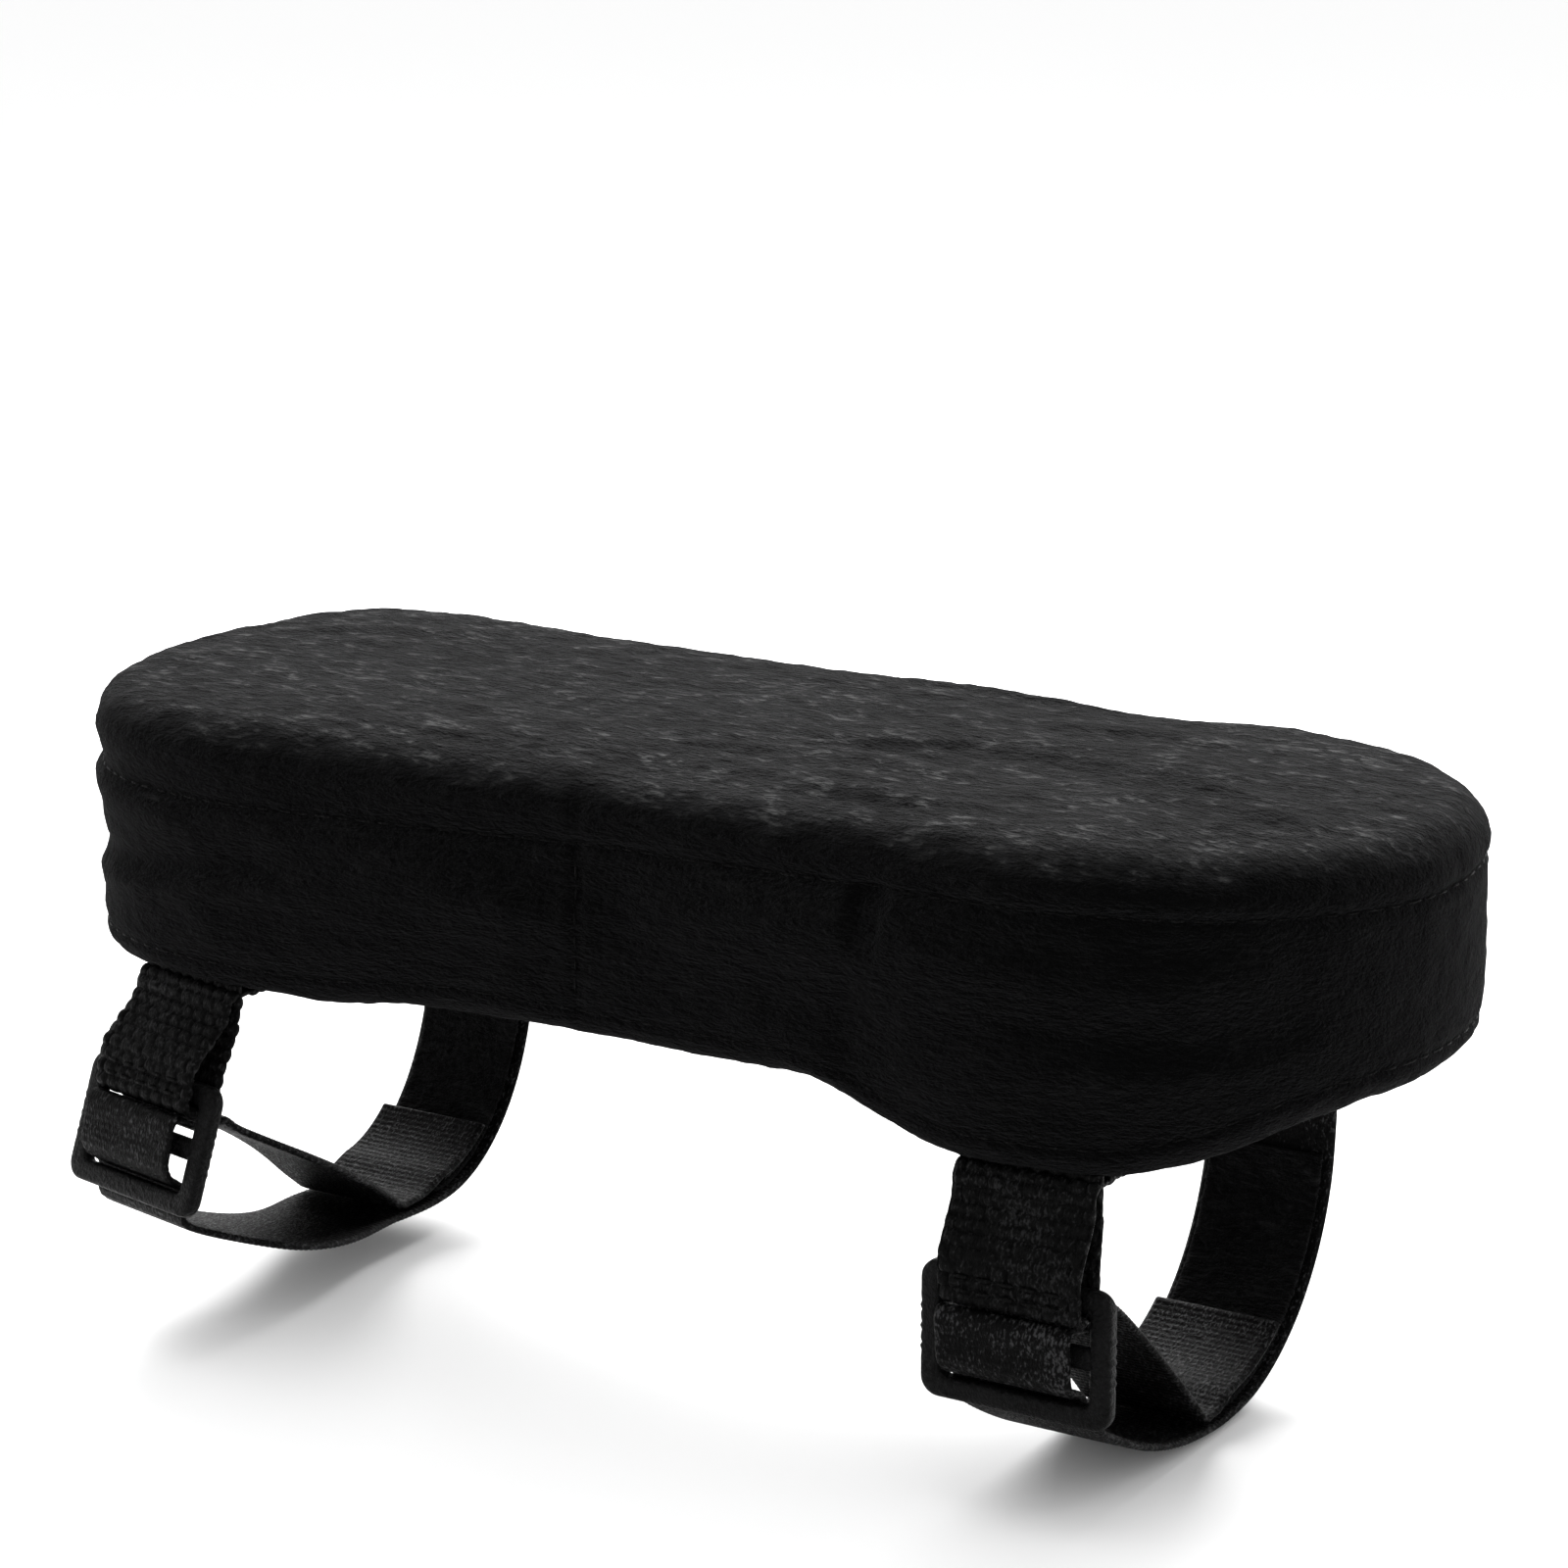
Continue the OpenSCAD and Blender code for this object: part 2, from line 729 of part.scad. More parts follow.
module tab_root_plain() at_plain_end() buckle_turned(plain_buckle_turn) tab_root();
module buckle_tab_plain() at_plain_end() buckle_placed(plain_buckle_turn, plain_buckle_pitch) buckle_tab();
module tab_stitches_plain() at_plain_end() buckle_placed(plain_buckle_turn, plain_buckle_pitch) tab_stitches();
module buckle_plain() at_plain_end() buckle_placed(plain_buckle_turn, plain_buckle_pitch) buckle();
module strap_root_plain() at_plain_end() strap_root();
module root_stitches_plain() at_plain_end() root_stitches();
module strap_plain() at_plain_end() strap(plain_low_y, plain_buckle_turn, plain_buckle_pitch);
module strap_tail_plain() at_plain_end() strap_tail(plain_low_y, plain_buckle_turn, plain_buckle_pitch);
module hook_patch_plain() at_plain_end() hook_patch(plain_low_y);
module loop_patch_plain() at_plain_end() loop_patch(plain_low_y);

foam_core();
cover_top_panel();
cover_bottom_panel();
wall_band_plain_end();
wall_band_thick_end();
wall_strip_upper();
wall_strip_lower();
top_seam_stitches();
bottom_seam_stitches();
closing_seam_stitches();
zip_tape_upper();
zip_tape_lower();
zip_teeth();
zip_stops();
zip_slider();
zip_pull();
tab_root_thick();
buckle_tab_thick();
tab_stitches_thick();
buckle_thick();
strap_root_thick();
root_stitches_thick();
strap_thick();
strap_tail_thick();
hook_patch_thick();
loop_patch_thick();
tab_root_plain();
buckle_tab_plain();
tab_stitches_plain();
buckle_plain();
strap_root_plain();
root_stitches_plain();
strap_plain();
strap_tail_plain();
hook_patch_plain();
loop_patch_plain();
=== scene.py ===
"""Looks of the chair armrest pad: a plush covered foam cushion on two webbing loops.

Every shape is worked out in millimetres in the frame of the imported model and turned
into metres when its mesh is made.
"""

import json
import math

import bpy
import numpy as np
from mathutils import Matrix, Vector
from mathutils.kdtree import KDTree


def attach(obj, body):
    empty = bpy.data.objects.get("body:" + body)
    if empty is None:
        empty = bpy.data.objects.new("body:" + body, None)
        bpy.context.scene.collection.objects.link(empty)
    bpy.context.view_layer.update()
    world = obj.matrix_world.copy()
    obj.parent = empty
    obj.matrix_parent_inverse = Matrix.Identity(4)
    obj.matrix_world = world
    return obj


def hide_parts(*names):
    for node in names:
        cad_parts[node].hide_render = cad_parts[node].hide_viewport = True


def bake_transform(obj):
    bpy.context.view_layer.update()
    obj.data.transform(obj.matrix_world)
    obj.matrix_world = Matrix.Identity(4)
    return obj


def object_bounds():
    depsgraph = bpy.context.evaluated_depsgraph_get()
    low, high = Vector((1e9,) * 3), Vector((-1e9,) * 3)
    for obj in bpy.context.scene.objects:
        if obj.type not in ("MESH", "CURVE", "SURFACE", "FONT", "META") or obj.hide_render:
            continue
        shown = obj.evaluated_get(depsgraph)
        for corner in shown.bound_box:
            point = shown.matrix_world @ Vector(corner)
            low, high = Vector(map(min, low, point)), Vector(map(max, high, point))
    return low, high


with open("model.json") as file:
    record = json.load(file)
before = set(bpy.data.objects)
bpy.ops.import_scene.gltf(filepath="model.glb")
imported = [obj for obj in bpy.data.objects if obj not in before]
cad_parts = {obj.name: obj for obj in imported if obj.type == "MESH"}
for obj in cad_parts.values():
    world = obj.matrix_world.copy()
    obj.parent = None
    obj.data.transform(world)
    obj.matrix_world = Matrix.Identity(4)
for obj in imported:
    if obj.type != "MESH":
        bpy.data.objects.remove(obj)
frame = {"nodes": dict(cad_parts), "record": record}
cad_low, cad_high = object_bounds()

MM = 0.001

# ---- the pad's sizes, as in the CAD source ----

HALF_LENGTH = 109.5
HALF_WIDTH = 43.5
PAD_HEIGHT = 38.0
THICK_DROP = 6.0
THICK_BEND = 27.0
THICK_BEND_LENGTH = 30.0
PLAIN_DROP = 2.0
PLAIN_BEND = 26.0
PLAIN_BEND_LENGTH = 28.0
TIP_RISE = 10.0
TIP_BEND_LENGTH = 38.0
WAIST = 2.5
WAIST_REACH = 75.0
TOP_ROLL = 6.5
BOTTOM_ROLL = 4.0
SEAM_DROP_THICK = 8.0
SEAM_DROP_PLAIN = 12.0
SEAM_RISE_LENGTH = 1.6 * HALF_LENGTH
SEAM_X = -6.4

# the two sides of the outline: at each end, how far along it a side curves, and how squarely
NEAR, FAR = 0, 1
BLUNT_REACH = (44.0, 28.0)
BLUNT_POWER = 2.25
ROUND_REACH = (60.0, 45.0)
ROUND_POWER = 2.1
FAR_FIRST_STEP = 10
FAR_STEPS = 18

ZIP_Z = 14.0
ZIP_WINDOW = 8.0
ZIP_SINK = 1.9

# ---- the loops' sizes, as in the CAD source where the looks don't differ on purpose ----

WEBBING = 20.0
STRAP_WIDTH = 20.6
TAB_WIDTH = 21.6
STRAP_SLIP = 0.8
STRAP = 1.3
TAB = 1.8
NEAR_Y = -37.0
FAR_Y = 37.0
SWING_Z = -3.0
TAB_Y = NEAR_Y - 1
BUCKLE_Y = NEAR_Y - 3
BUCKLE_TOP = -14.5
BUCKLE_WIDTH = 29.0
BUCKLE_HEIGHT = 19.6
BUCKLE_THICKNESS = 2.6
BAR = 3.2
WINDOW = 22.4
SLOT = (BUCKLE_HEIGHT - 3 * BAR) / 2
UPPER_SLOT_Z = BUCKLE_TOP - BAR - SLOT / 2
MIDDLE_BAR_Z = UPPER_SLOT_Z - (SLOT + BAR) / 2
LOWER_SLOT_Z = MIDDLE_BAR_Z - (SLOT + BAR) / 2
BOTTOM_BAR_Z = LOWER_SLOT_Z - (SLOT + BAR) / 2
SLACK = 0.3
SEWN_GAP = 0.1
STRAP_OFF = BUCKLE_THICKNESS / 2 + SLACK + STRAP / 2
TAB_OFF = BUCKLE_THICKNESS / 2 + 1.5 * SLACK + TAB / 2
STRAP_ENTRY = (BUCKLE_Y + 4.6, BOTTOM_BAR_Z - 3.4)
RUN_POWER = 2.2
ROUND_Z = -14.0
LOOP_DEPTH = 49.0
ROUND_DEPTH = LOOP_DEPTH + ROUND_Z - STRAP / 2
PATCH = 1.0
TAIL_LIFT = STRAP + 2 * PATCH + SLACK
TAIL_TOUCH = STRAP + 0.4
TAIL_LANDING = 94
TAIL_TIP = 56
TAIL_DOWN = 104
TAIL_ARCH = 3
LOOPS = {
    "thick": {"x": 65.0, "turn": 0.0, "pitch": 0.0, "low_y": 4.0},
    "plain": {"x": -76.5, "turn": -13.0, "pitch": 19.0, "low_y": 10.0},
}

# ---- how the cover is made ----

PAD_STEPS = 270
PAD_ACROSS = 80
PLAIN_TAPER = 2.0
PLAIN_TAPER_START = 84.0
PLAIN_TAPER_LENGTH = 29.0
SIDE_BLEND = 12.0
FOLD_FADE = 0.25
SWELL_START = 0.985
SWELL_VOXEL = 4.0
SWELL_PRESSURE = 4.0
SWELL_FRAMES = 20
SWELL_CAP = 2.2
SWELL_SHARE = np.array([1, 1, 0.45])


# ---- numbers and noise ----

def ease(t):
    """0 before t = 0, 1 after t = 1 and smooth in between."""
    t = np.clip(t, 0.0, 1.0)
    return t * t * (3 - 2 * t)


def mix(a, b, t):
    """a at t = 0, b at t = 1."""
    return a + (b - a) * t


def bell(t):
    """1 at t = 0, fading to nothing by about t = 2 on both sides."""
    return np.exp(-t * t)


def hashed(i, j, k, seed):
    """A repeatable number from 0 to 1 for each lattice point."""
    n = i * 374761393 + j * 668265263 + k * 2147483647 + seed * 1274126177
    n = (n ^ (n >> 13)) * 1274126177
    n = (n ^ (n >> 16)) & 0xFFFFFF
    return n / float(0xFFFFFF)


def lattice_noise(points, size, seed):
    """Smooth noise from -1 to 1 whose bumps are about size across, one size per axis."""
    place = points / np.asarray(size, float)
    cell = np.floor(place).astype(np.int64)
    share = ease(place - cell)
    total = np.zeros(len(place))
    for corner in range(8):
        step = np.array([(corner >> axis) & 1 for axis in range(3)])
        weight = np.prod(np.where(step, share, 1 - share), axis=1)
        at = cell + step
        total += weight * hashed(at[:, 0], at[:, 1], at[:, 2], seed)
    return 2 * total - 1


# ---- meshes ----

def new_object(name, points, faces):
    """A smooth-shaded object from points in millimetres."""
    mesh = bpy.data.meshes.new(name)
    mesh.from_pydata((np.asarray(points, float) * MM).tolist(), [], faces)
    mesh.update()
    mesh.polygons.foreach_set("use_smooth", [True] * len(mesh.polygons))
    thing = bpy.data.objects.new(name, mesh)
    bpy.context.scene.collection.objects.link(thing)
    return thing


def grid_faces(rows, columns, closed=False, start=0, flip=False):
    """Quads over a grid of points, row after row; closed joins the last column to the first."""
    faces = []
    for r in range(rows - 1):
        for c in range(columns if closed else columns - 1):
            d = (c + 1) % columns
            a = start + r * columns
            b = a + columns
            quad = (a + c, a + d, b + d, b + c)
            faces.append(quad[::-1] if flip else quad)
    return faces


def way_along(line):
    """How far along a polyline each of its points is."""
    return np.concatenate([[0], np.cumsum(np.linalg.norm(np.diff(line, axis=0), axis=1))])


def spaced(line, count):
    """Points evenly spaced along a polyline, count of them."""
    along = way_along(line)
    at = np.linspace(0, along[-1], count)
    return np.stack([np.interp(at, along, line[:, k]) for k in range(line.shape[1])], 1)


def even_path(line, step):
    """Points about a step apart along a polyline, and how far along it each one is."""
    line = np.asarray(line, float)
    length = way_along(line)[-1]
    count = max(2, int(round(length / step)) + 1)
    return spaced(line, count), np.linspace(0, length, count)


def tree_of(points):
    """A search tree over 3-D points."""
    tree = KDTree(len(points))
    for i, p in enumerate(points):
        tree.insert(p, i)
    tree.balance()
    return tree


def smooth_curve(points, steps=8):
    """The CAD's smooth curve through points, a Catmull-Rom spline."""
    points = np.asarray(points, float)
    last = len(points) - 1
    out = []
    for i in range(last):
        a, b, c, d = points[[max(0, i - 1), i, i + 1, min(last, i + 2)]]
        for k in range(steps):
            t = k / steps
            out.append(0.5 * (2 * b + (c - a) * t + (2 * a - 5 * b + 4 * c - d) * t * t
                              + (3 * b - a - 3 * c + d) * t ** 3))
    out.append(points[-1])
    return np.array(out)


# ---- the pad's skin ----

def underside(x):
    """Height of the underside along X: flat in the middle, lower towards both ends, and
    rising again towards the thick tip."""
    thick = THICK_DROP * ease((x - THICK_BEND) / THICK_BEND_LENGTH)
    plain = PLAIN_DROP * ease((-x - PLAIN_BEND) / PLAIN_BEND_LENGTH)
    tip = TIP_RISE * ease((x + TIP_BEND_LENGTH - HALF_LENGTH) / TIP_BEND_LENGTH) ** 1.5
    return tip - thick - plain


def side_x(step):
    """Place along X of one of the CAD's steps on the straight part of the far side."""
    share = (step - FAR_FIRST_STEP) / FAR_STEPS
    return mix(BLUNT_REACH[FAR] - HALF_LENGTH, HALF_LENGTH - ROUND_REACH[FAR], share)


def top_seam(x):
    """Height of the seam between the wall and the top panel along X."""
    t = ease((x + HALF_LENGTH) / SEAM_RISE_LENGTH)
    return PAD_HEIGHT - mix(SEAM_DROP_PLAIN, SEAM_DROP_THICK, t)


def side_of_outline(side, inset, count):
    """Half of the pad's outline from the plain tip to the thick tip, count + 1 even points."""
    quarter_steps = 60
    straight_steps = 90
    t = np.linspace(0, 1, quarter_steps)

    def quarter(reach, power):
        """One end's curve of this side, from its tip to the straight part."""
        return (reach * (1 - np.cos(t * math.pi / 2).clip(0) ** (2 / power)),
                (HALF_WIDTH - inset) * np.sin(t * math.pi / 2) ** (2 / power))

    blunt_x, blunt_y = quarter(BLUNT_REACH[side] - inset, BLUNT_POWER)
    round_x, round_y = quarter(ROUND_REACH[side] - inset, ROUND_POWER)
    straight = np.linspace(
        BLUNT_REACH[side] - HALF_LENGTH, HALF_LENGTH - ROUND_REACH[side], straight_steps)[1:-1]
    x = np.concatenate([
        blunt_x + inset - HALF_LENGTH, straight, (HALF_LENGTH - inset - round_x)[::-1]])
    y = np.concatenate([blunt_y, np.full(len(straight), HALF_WIDTH - inset), round_y[::-1]])
    if side == NEAR:
        y = np.minimum(0, WAIST * ease(1 - np.abs(x) / WAIST_REACH) - y)
    return spaced(np.stack([x, y], 1), count + 1)


def ring(inset, half_count):
    """The outline as one loop, anticlockwise from the plain tip by way of the near side."""
    near = side_of_outline(NEAR, inset, half_count)
    far = side_of_outline(FAR, inset, half_count)
    return np.concatenate([near, far[-2:0:-1]])


def profile_rows(fine):
    """The rings of the skin from the bottom panel's rim up to the top panel's rim. Each is
    its inset from the outline, the part of the wall it is on and its place in that part."""
    roll_steps = 5 * fine
    wall_steps = 14 * fine
    band_steps = 3 * fine
    quarter = [math.pi / 2 * i / roll_steps for i in range(roll_steps + 1)]
    rows = [(BOTTOM_ROLL * (1 - math.sin(a)), "bottom roll", BOTTOM_ROLL * (1 - math.cos(a)))
            for a in quarter[:-1]]
    rows += [(0.0, "wall", i / wall_steps) for i in range(wall_steps)]
    rows += [(0.0, "band", i / band_steps) for i in range(band_steps)]
    rows += [(TOP_ROLL * (1 - math.cos(a)), "top roll", -TOP_ROLL * (1 - math.sin(a)))
             for a in quarter]
    return rows


def row_height(x, part, place):
    """Heights along X of a ring of the skin."""
    if part == "bottom roll":
        return underside(x) + place
    if part == "wall":
        return mix(underside(x) + BOTTOM_ROLL, top_seam(x), place)
    if part == "band":
        return mix(top_seam(x), PAD_HEIGHT - TOP_ROLL, place)
    return np.full(len(x), PAD_HEIGHT + place)


def lid_faces(index, up):
    """Faces over a lid's grid of point numbers, with triangles at its two tips."""
    last = len(index) - 2
    faces = []
    for i in range(last + 1):
        for j in range(index.shape[1] - 1):
            if i == 0:
                face = (index[0, 0], index[1, j], index[1, j + 1])
            elif i == last:
                face = (index[i, j], index[i + 1, 0], index[i, j + 1])
            else:
                face = (index[i, j], index[i + 1, j], index[i + 1, j + 1], index[i, j + 1])
            faces.append(face if up else face[::-1])
    return faces


def skin(half_count, fine, across):
    """The pad's plain skin: its points, and its faces turned outwards."""
    points = []
    for inset, part, place in profile_rows(fine):
        outline = ring(inset, half_count)
        points.append(np.column_stack([outline, row_height(outline[:, 0], part, place)]))
    count = 2 * half_count
    rows = len(points)
    faces = grid_faces(rows, count, closed=True)
    total = count * rows
    for rim, ring_start, up in ((points[0], 0, False), (points[-1], count * (rows - 1), True)):
        near = rim[:half_count + 1]
        far = np.concatenate([rim[:1], rim[:half_count - 1:-1]])
        along = np.arange(half_count + 1)
        index = np.zeros((half_count + 1, across + 1), int)
        index[:, 0] = ring_start + along
        index[:, across] = ring_start + (count - along) % count
        inner = []
        for i in range(1, half_count):
            for j in range(1, across):
                index[i, j] = total + len(inner)
                inner.append(mix(near[i], far[i], j / across))
        inner = np.array(inner)
        if not up:
            inner[:, 2] = underside(inner[:, 0])
        points.append(inner)
        total += len(inner)
        faces += lid_faces(index, up)
    return np.concatenate(points), faces


def pressed_cloth():
    """The pad's plain skin, remeshed as cloth and pressed from inside: its points before
    the simulation and how far each of them moves."""
    points, faces = skin(90, 1, 20)
    points[:, :2] *= SWELL_START
    base = new_object("swell_base", points, faces)
    remesh = base.modifiers.new("remesh", "REMESH")
    remesh.mode = "VOXEL"
    remesh.voxel_size = SWELL_VOXEL * MM
    cloth = base.modifiers.new("cloth", "CLOTH")
    cloth.settings.use_pressure = True
    cloth.settings.uniform_pressure_force = SWELL_PRESSURE
    cloth.settings.effector_weights.gravity = 0
    cloth.settings.tension_stiffness = 12
    cloth.settings.compression_stiffness = 12
    cloth.settings.bending_stiffness = 0.4
    cloth.settings.quality = 5
    cloth.point_cache.frame_start = 1
    cloth.point_cache.frame_end = SWELL_FRAMES

    def shape():
        """The cloth's points at the current frame."""
        graph = bpy.context.evaluated_depsgraph_get()
        mesh = base.evaluated_get(graph).data
        places = np.zeros(len(mesh.vertices) * 3)
        mesh.vertices.foreach_get("co", places)
        return places.reshape(-1, 3) / MM

    scene = bpy.context.scene
    scene.frame_set(1)
    before = shape()
    for number in range(2, SWELL_FRAMES + 1):
        scene.frame_set(number)
    moved = shape() - before
    scene.frame_set(1)
    bpy.data.objects.remove(base)
    return before, moved


def swelled(points):
    """How far the pressed cloth carries each of these points, kept small by a cap."""
    before, moved = pressed_cloth()
    length = np.linalg.norm(moved, axis=1, keepdims=True)
    moved *= np.minimum(1, SWELL_CAP / np.maximum(length, 1e-9))
    tree = tree_of(before)
    out = np.zeros_like(points)
    for i, p in enumerate(points):
        near = tree.find_n(p, 8)
        weight = np.array([1 / (distance + 1) for _, _, distance in near])
        out[i] = weight @ moved[[k for _, k, _ in near]] / weight.sum()
    return out * SWELL_SHARE


def vertex_normals(points, faces):
    """Unit normals of the points, turned outwards by the faces' order."""
    mesh = bpy.data.meshes.new("normals")
    mesh.from_pydata(points.tolist(), [], faces)
    mesh.update()
    out = np.zeros(len(points) * 3)
    mesh.vertices.foreach_get("normal", out)
    bpy.data.meshes.remove(mesh)
    return out.reshape(-1, 3)


# ---- the cover's seams, folds and nap ----

def way_round_wall(x, y):
    """How far round the wall points are: 0 at the plain tip, growing along the near side,
    and below 0 on the first quarter of the far side."""
    outline = ring(0, 600)
    tree = tree_of(np.column_stack([outline, np.zeros(len(outline))]))
    nearest = np.array([tree.find((a, b, 0))[1] for a, b in zip(x, y)])
    along = way_along(outline)
    girth = along[-1]
    place = along[nearest]
    return np.where(place > girth * 0.75, place - girth, place)


def groove(distance, half_width, depth):
    """How far a seam draws the cloth in, at a distance from it."""
    return -depth * bell(distance / half_width)


def seam_pull(x, z, normals, wall, near):
    """The cover drawn in at the top seam, the bottom seam and the closing seam."""
    side = np.maximum(wall, ease((0.95 - np.abs(normals[:, 2])) / 0.3))
    to_top = z - top_seam(x)
    to_bottom = z - underside(x) - BOTTOM_ROLL
    round_seams = groove(to_top, 0.8, 0.6) + groove(to_top, 3.0, 0.15) + groove(to_bottom, 0.8, 0.5)
    to_closing = x - SEAM_X
    closing = groove(to_closing, 0.7, 0.55) - groove(to_closing + 2, 1.2, 0.12)
    return round_seams * side + closing * near * wall


def line_fold(along, across, line, half_width, height, hollow):
    """A ridge along a line of (along, across) points, fading at both ends, or a valley where
    its height is negative. hollow is the depth of the dip beside a ridge as a share of its
    height; a negative share makes a second ridge or valley there instead."""
    line = np.asarray(line, float)
    centre = np.interp(along, line[:, 0], line[:, 1])
    t = (along - line[0, 0]) / (line[-1, 0] - line[0, 0])
    fade = ease(t / FOLD_FADE) * ease((1 - t) / FOLD_FADE)
    off = (across - centre) / half_width
    return height * fade * (bell(off) - hollow * bell(off - 1.7))


def folds(x, y, z, wall, top):
    """Every fold of the cover: along the wall, up the wall and on the top panel."""
    s = way_round_wall(x, y)
    out = np.zeros(len(x))
    for along, across, share, lines in (
            (s, z, wall, WALL_FOLDS), (z, s, wall, UPRIGHT_FOLDS), (x, y, top, TOP_FOLDS)):
        for fold in lines:
            out += line_fold(along, across, *fold) * share
    return out


def unevenness(rest, wall):
    """Broad unevenness, most on the wall, and clumps of nap down to tufts."""
    out = 0.55 * lattice_noise(rest, (34, 30, 16), 3) * (0.6 + 0.4 * wall)
    for height, size, seed in NAP:
        out += height * lattice_noise(rest, size, seed)
    return out


def with_zip_window(out, x, z, far):
    """The same lifts with the far wall flat round the zip, and sunk at its window."""
    off = np.abs(z - ZIP_Z)
    window = far * ease((ZIP_WINDOW / 2 + 0.6 - off) / 1.2)
    window *= ease((x - ZIP_START + 0.5) / 1.5) * ease((ZIP_END + 0.5 - x) / 1.5)
    flat = far * ease((ZIP_WINDOW / 2 + 7 - off) / 4)
    flat *= ease((ZIP_END + 6 - x) / 8) * ease((x - ZIP_START + 6) / 8)
    return out * (1 - 0.8 * flat) - ZIP_SINK * window


def pad_shape():
    """The cover as it shows: its points and faces, and the plain skin's points and normals."""
    rest, faces = skin(PAD_STEPS, 2, PAD_ACROSS)
    points = rest.copy()
    points += swelled(points)
    normals = vertex_normals(rest, faces)
    x, y, z = rest.T
    wall = ease((0.8 - np.abs(normals[:, 2])) / 0.4)
    top = ease((normals[:, 2] - 0.5) / 0.4)
    near = ease(-y / SIDE_BLEND)
    far = ease(y / SIDE_BLEND)
    out = seam_pull(x, z, normals, wall, near) + folds(x, y, z, wall, top) + unevenness(rest, wall)
    out = with_zip_window(out, x, z, far)
    # the plain end narrows towards its underside
    taper = ease((-x - PLAIN_TAPER_START) / PLAIN_TAPER_LENGTH)
    points[:, 0] += PLAIN_TAPER * taper * ease((PAD_HEIGHT - z) / (PAD_HEIGHT + PLAIN_DROP))
    points += normals * out[:, None]
    points[:, 2] = np.maximum(points[:, 2], cad_low.z / MM)
    return points, faces, rest, normals


ZIP_START = side_x(11)
ZIP_END = side_x(27)

# each fold: its line, half width, height and hollow; a wall fold's line holds
# (distance round the wall from the plain tip, height) and an upright fold's the reverse
WALL_FOLDS = [
    ([(8, 23.0), (30, 23.4), (52, 23.2), (72, 22)], 2.4, 0.7, 0.8),
    ([(14, 8.5), (51, 11.0), (83, 15.6), (96, 17)], 2.3, 0.8, 1.0),
    ([(-20, 12), (6, 11), (30, 12.5)], 2.2, 0.3, 0.5),
    ([(60, 7), (78, 6), (100, 8)], 3.4, 0.4, 0.3),
    ([(100, 20), (122, 18), (140, 19)], 3.2, 0.4, 0.3),
    ([(150, 8), (172, 3), (205, 6)], 4.0, 0.5, 0.3),
    ([(183, 22), (212, 20), (245, 23)], 3.4, 0.7, 0.5),
    ([(192, 9), (222, 8), (250, 14)], 3.0, 0.6, 0.5),
]
UPRIGHT_FOLDS = [
    ([(19, 177), (25, 177.6), (32, 178)], 1.6, -1.5, -0.9),
    ([(-4, 174), (8, 175), (24, 177)], 3.6, -1.0, -0.5),
    ([(4, 118), (14, 117), (22, 116)], 4.0, 0.4, 0.2),
    ([(2, 66), (12, 65), (24, 64)], 4.0, 0.4, 0.2),
]
TOP_FOLDS = [
    ([(3, -12), (35, 1), (62, 0), (88, -4)], 2.4, 1.1, 0.5),
    ([(-8, -20), (20, -12), (48, -14)], 2.6, 0.8, 0.4),
    ([(18, -28), (37, -29), (58, -27)], 2.4, 0.96, 0.4),
    ([(58, -14), (76, -10), (98, -12)], 2.4, 0.8, 0.4),
    ([(0, 35), (26, 34.4), (50, 33)], 1.8, 0.96, 0.4),
    ([(30, 18), (52, 22), (80, 18)], 2.8, 0.64, 0.3),
    ([(-96, 12), (-78, 20), (-60, 25)], 3.0, 0.56, 0.3),
    ([(-60, -20), (-34, -16), (-10, -18)], 3.2, 0.48, 0.3),
]

# clumps of nap, coarse to fine: height, size along each axis, seed
NAP = [
    (0.26, (13, 9, 8), 5),
    (0.17, (5.2, 2.6, 2.4), 7),
    (0.12, (2.2, 1.4, 1.3), 11),
]


# ---- materials ----

PILE_HEIGHT = 0.0022
THREAD_HEIGHT = 0.0004


def grey(value, blue=0.0):
    """A grey with a little more blue where asked."""
    return (value, value, value + blue)


def material(name, base, rough, **settings):
    """A Principled material and its node tree, its shader and its object coordinates."""
    made = bpy.data.materials.new(name)
    made.use_nodes = True
    tree = made.node_tree
    shader = tree.nodes["Principled BSDF"]
    shader.inputs["Base Color"].default_value = (*base, 1)
    shader.inputs["Roughness"].default_value = rough
    for key, value in settings.items():
        shader.inputs[key.replace("_", " ")].default_value = value
    place = tree.nodes.new("ShaderNodeTexCoord").outputs["Object"]
    return made, tree, shader, place


def stretched(tree, place, scale, turn=0.0):
    """Coordinates scaled per axis, so that a pattern runs along one of them."""
    node = tree.nodes.new("ShaderNodeMapping")
    node.inputs["Scale"].default_value = scale
    node.inputs["Rotation"].default_value = (0, 0, turn)
    tree.links.new(place, node.inputs["Vector"])
    return node.outputs["Vector"]


def noise_node(tree, place, scale, detail, rough, distortion=0.0):
    """Noise from 0 to 1, of about scale bumps to the metre."""
    node = tree.nodes.new("ShaderNodeTexNoise")
    node.inputs["Scale"].default_value = scale
    node.inputs["Detail"].default_value = detail
    node.inputs["Roughness"].default_value = rough
    node.inputs["Distortion"].default_value = distortion
    tree.links.new(place, node.inputs["Vector"])
    return node.outputs["Fac"]


def ramp_node(tree, value, stops):
    """A colour against a value; stops are (value, colour)."""
    node = tree.nodes.new("ShaderNodeValToRGB")
    band = node.color_ramp
    while len(band.elements) < len(stops):
        band.elements.new(0.5)
    for element, (at, colour) in zip(band.elements, stops):
        element.position = at
        element.color = (*colour, 1)
    tree.links.new(value, node.inputs["Fac"])
    return node.outputs["Color"]


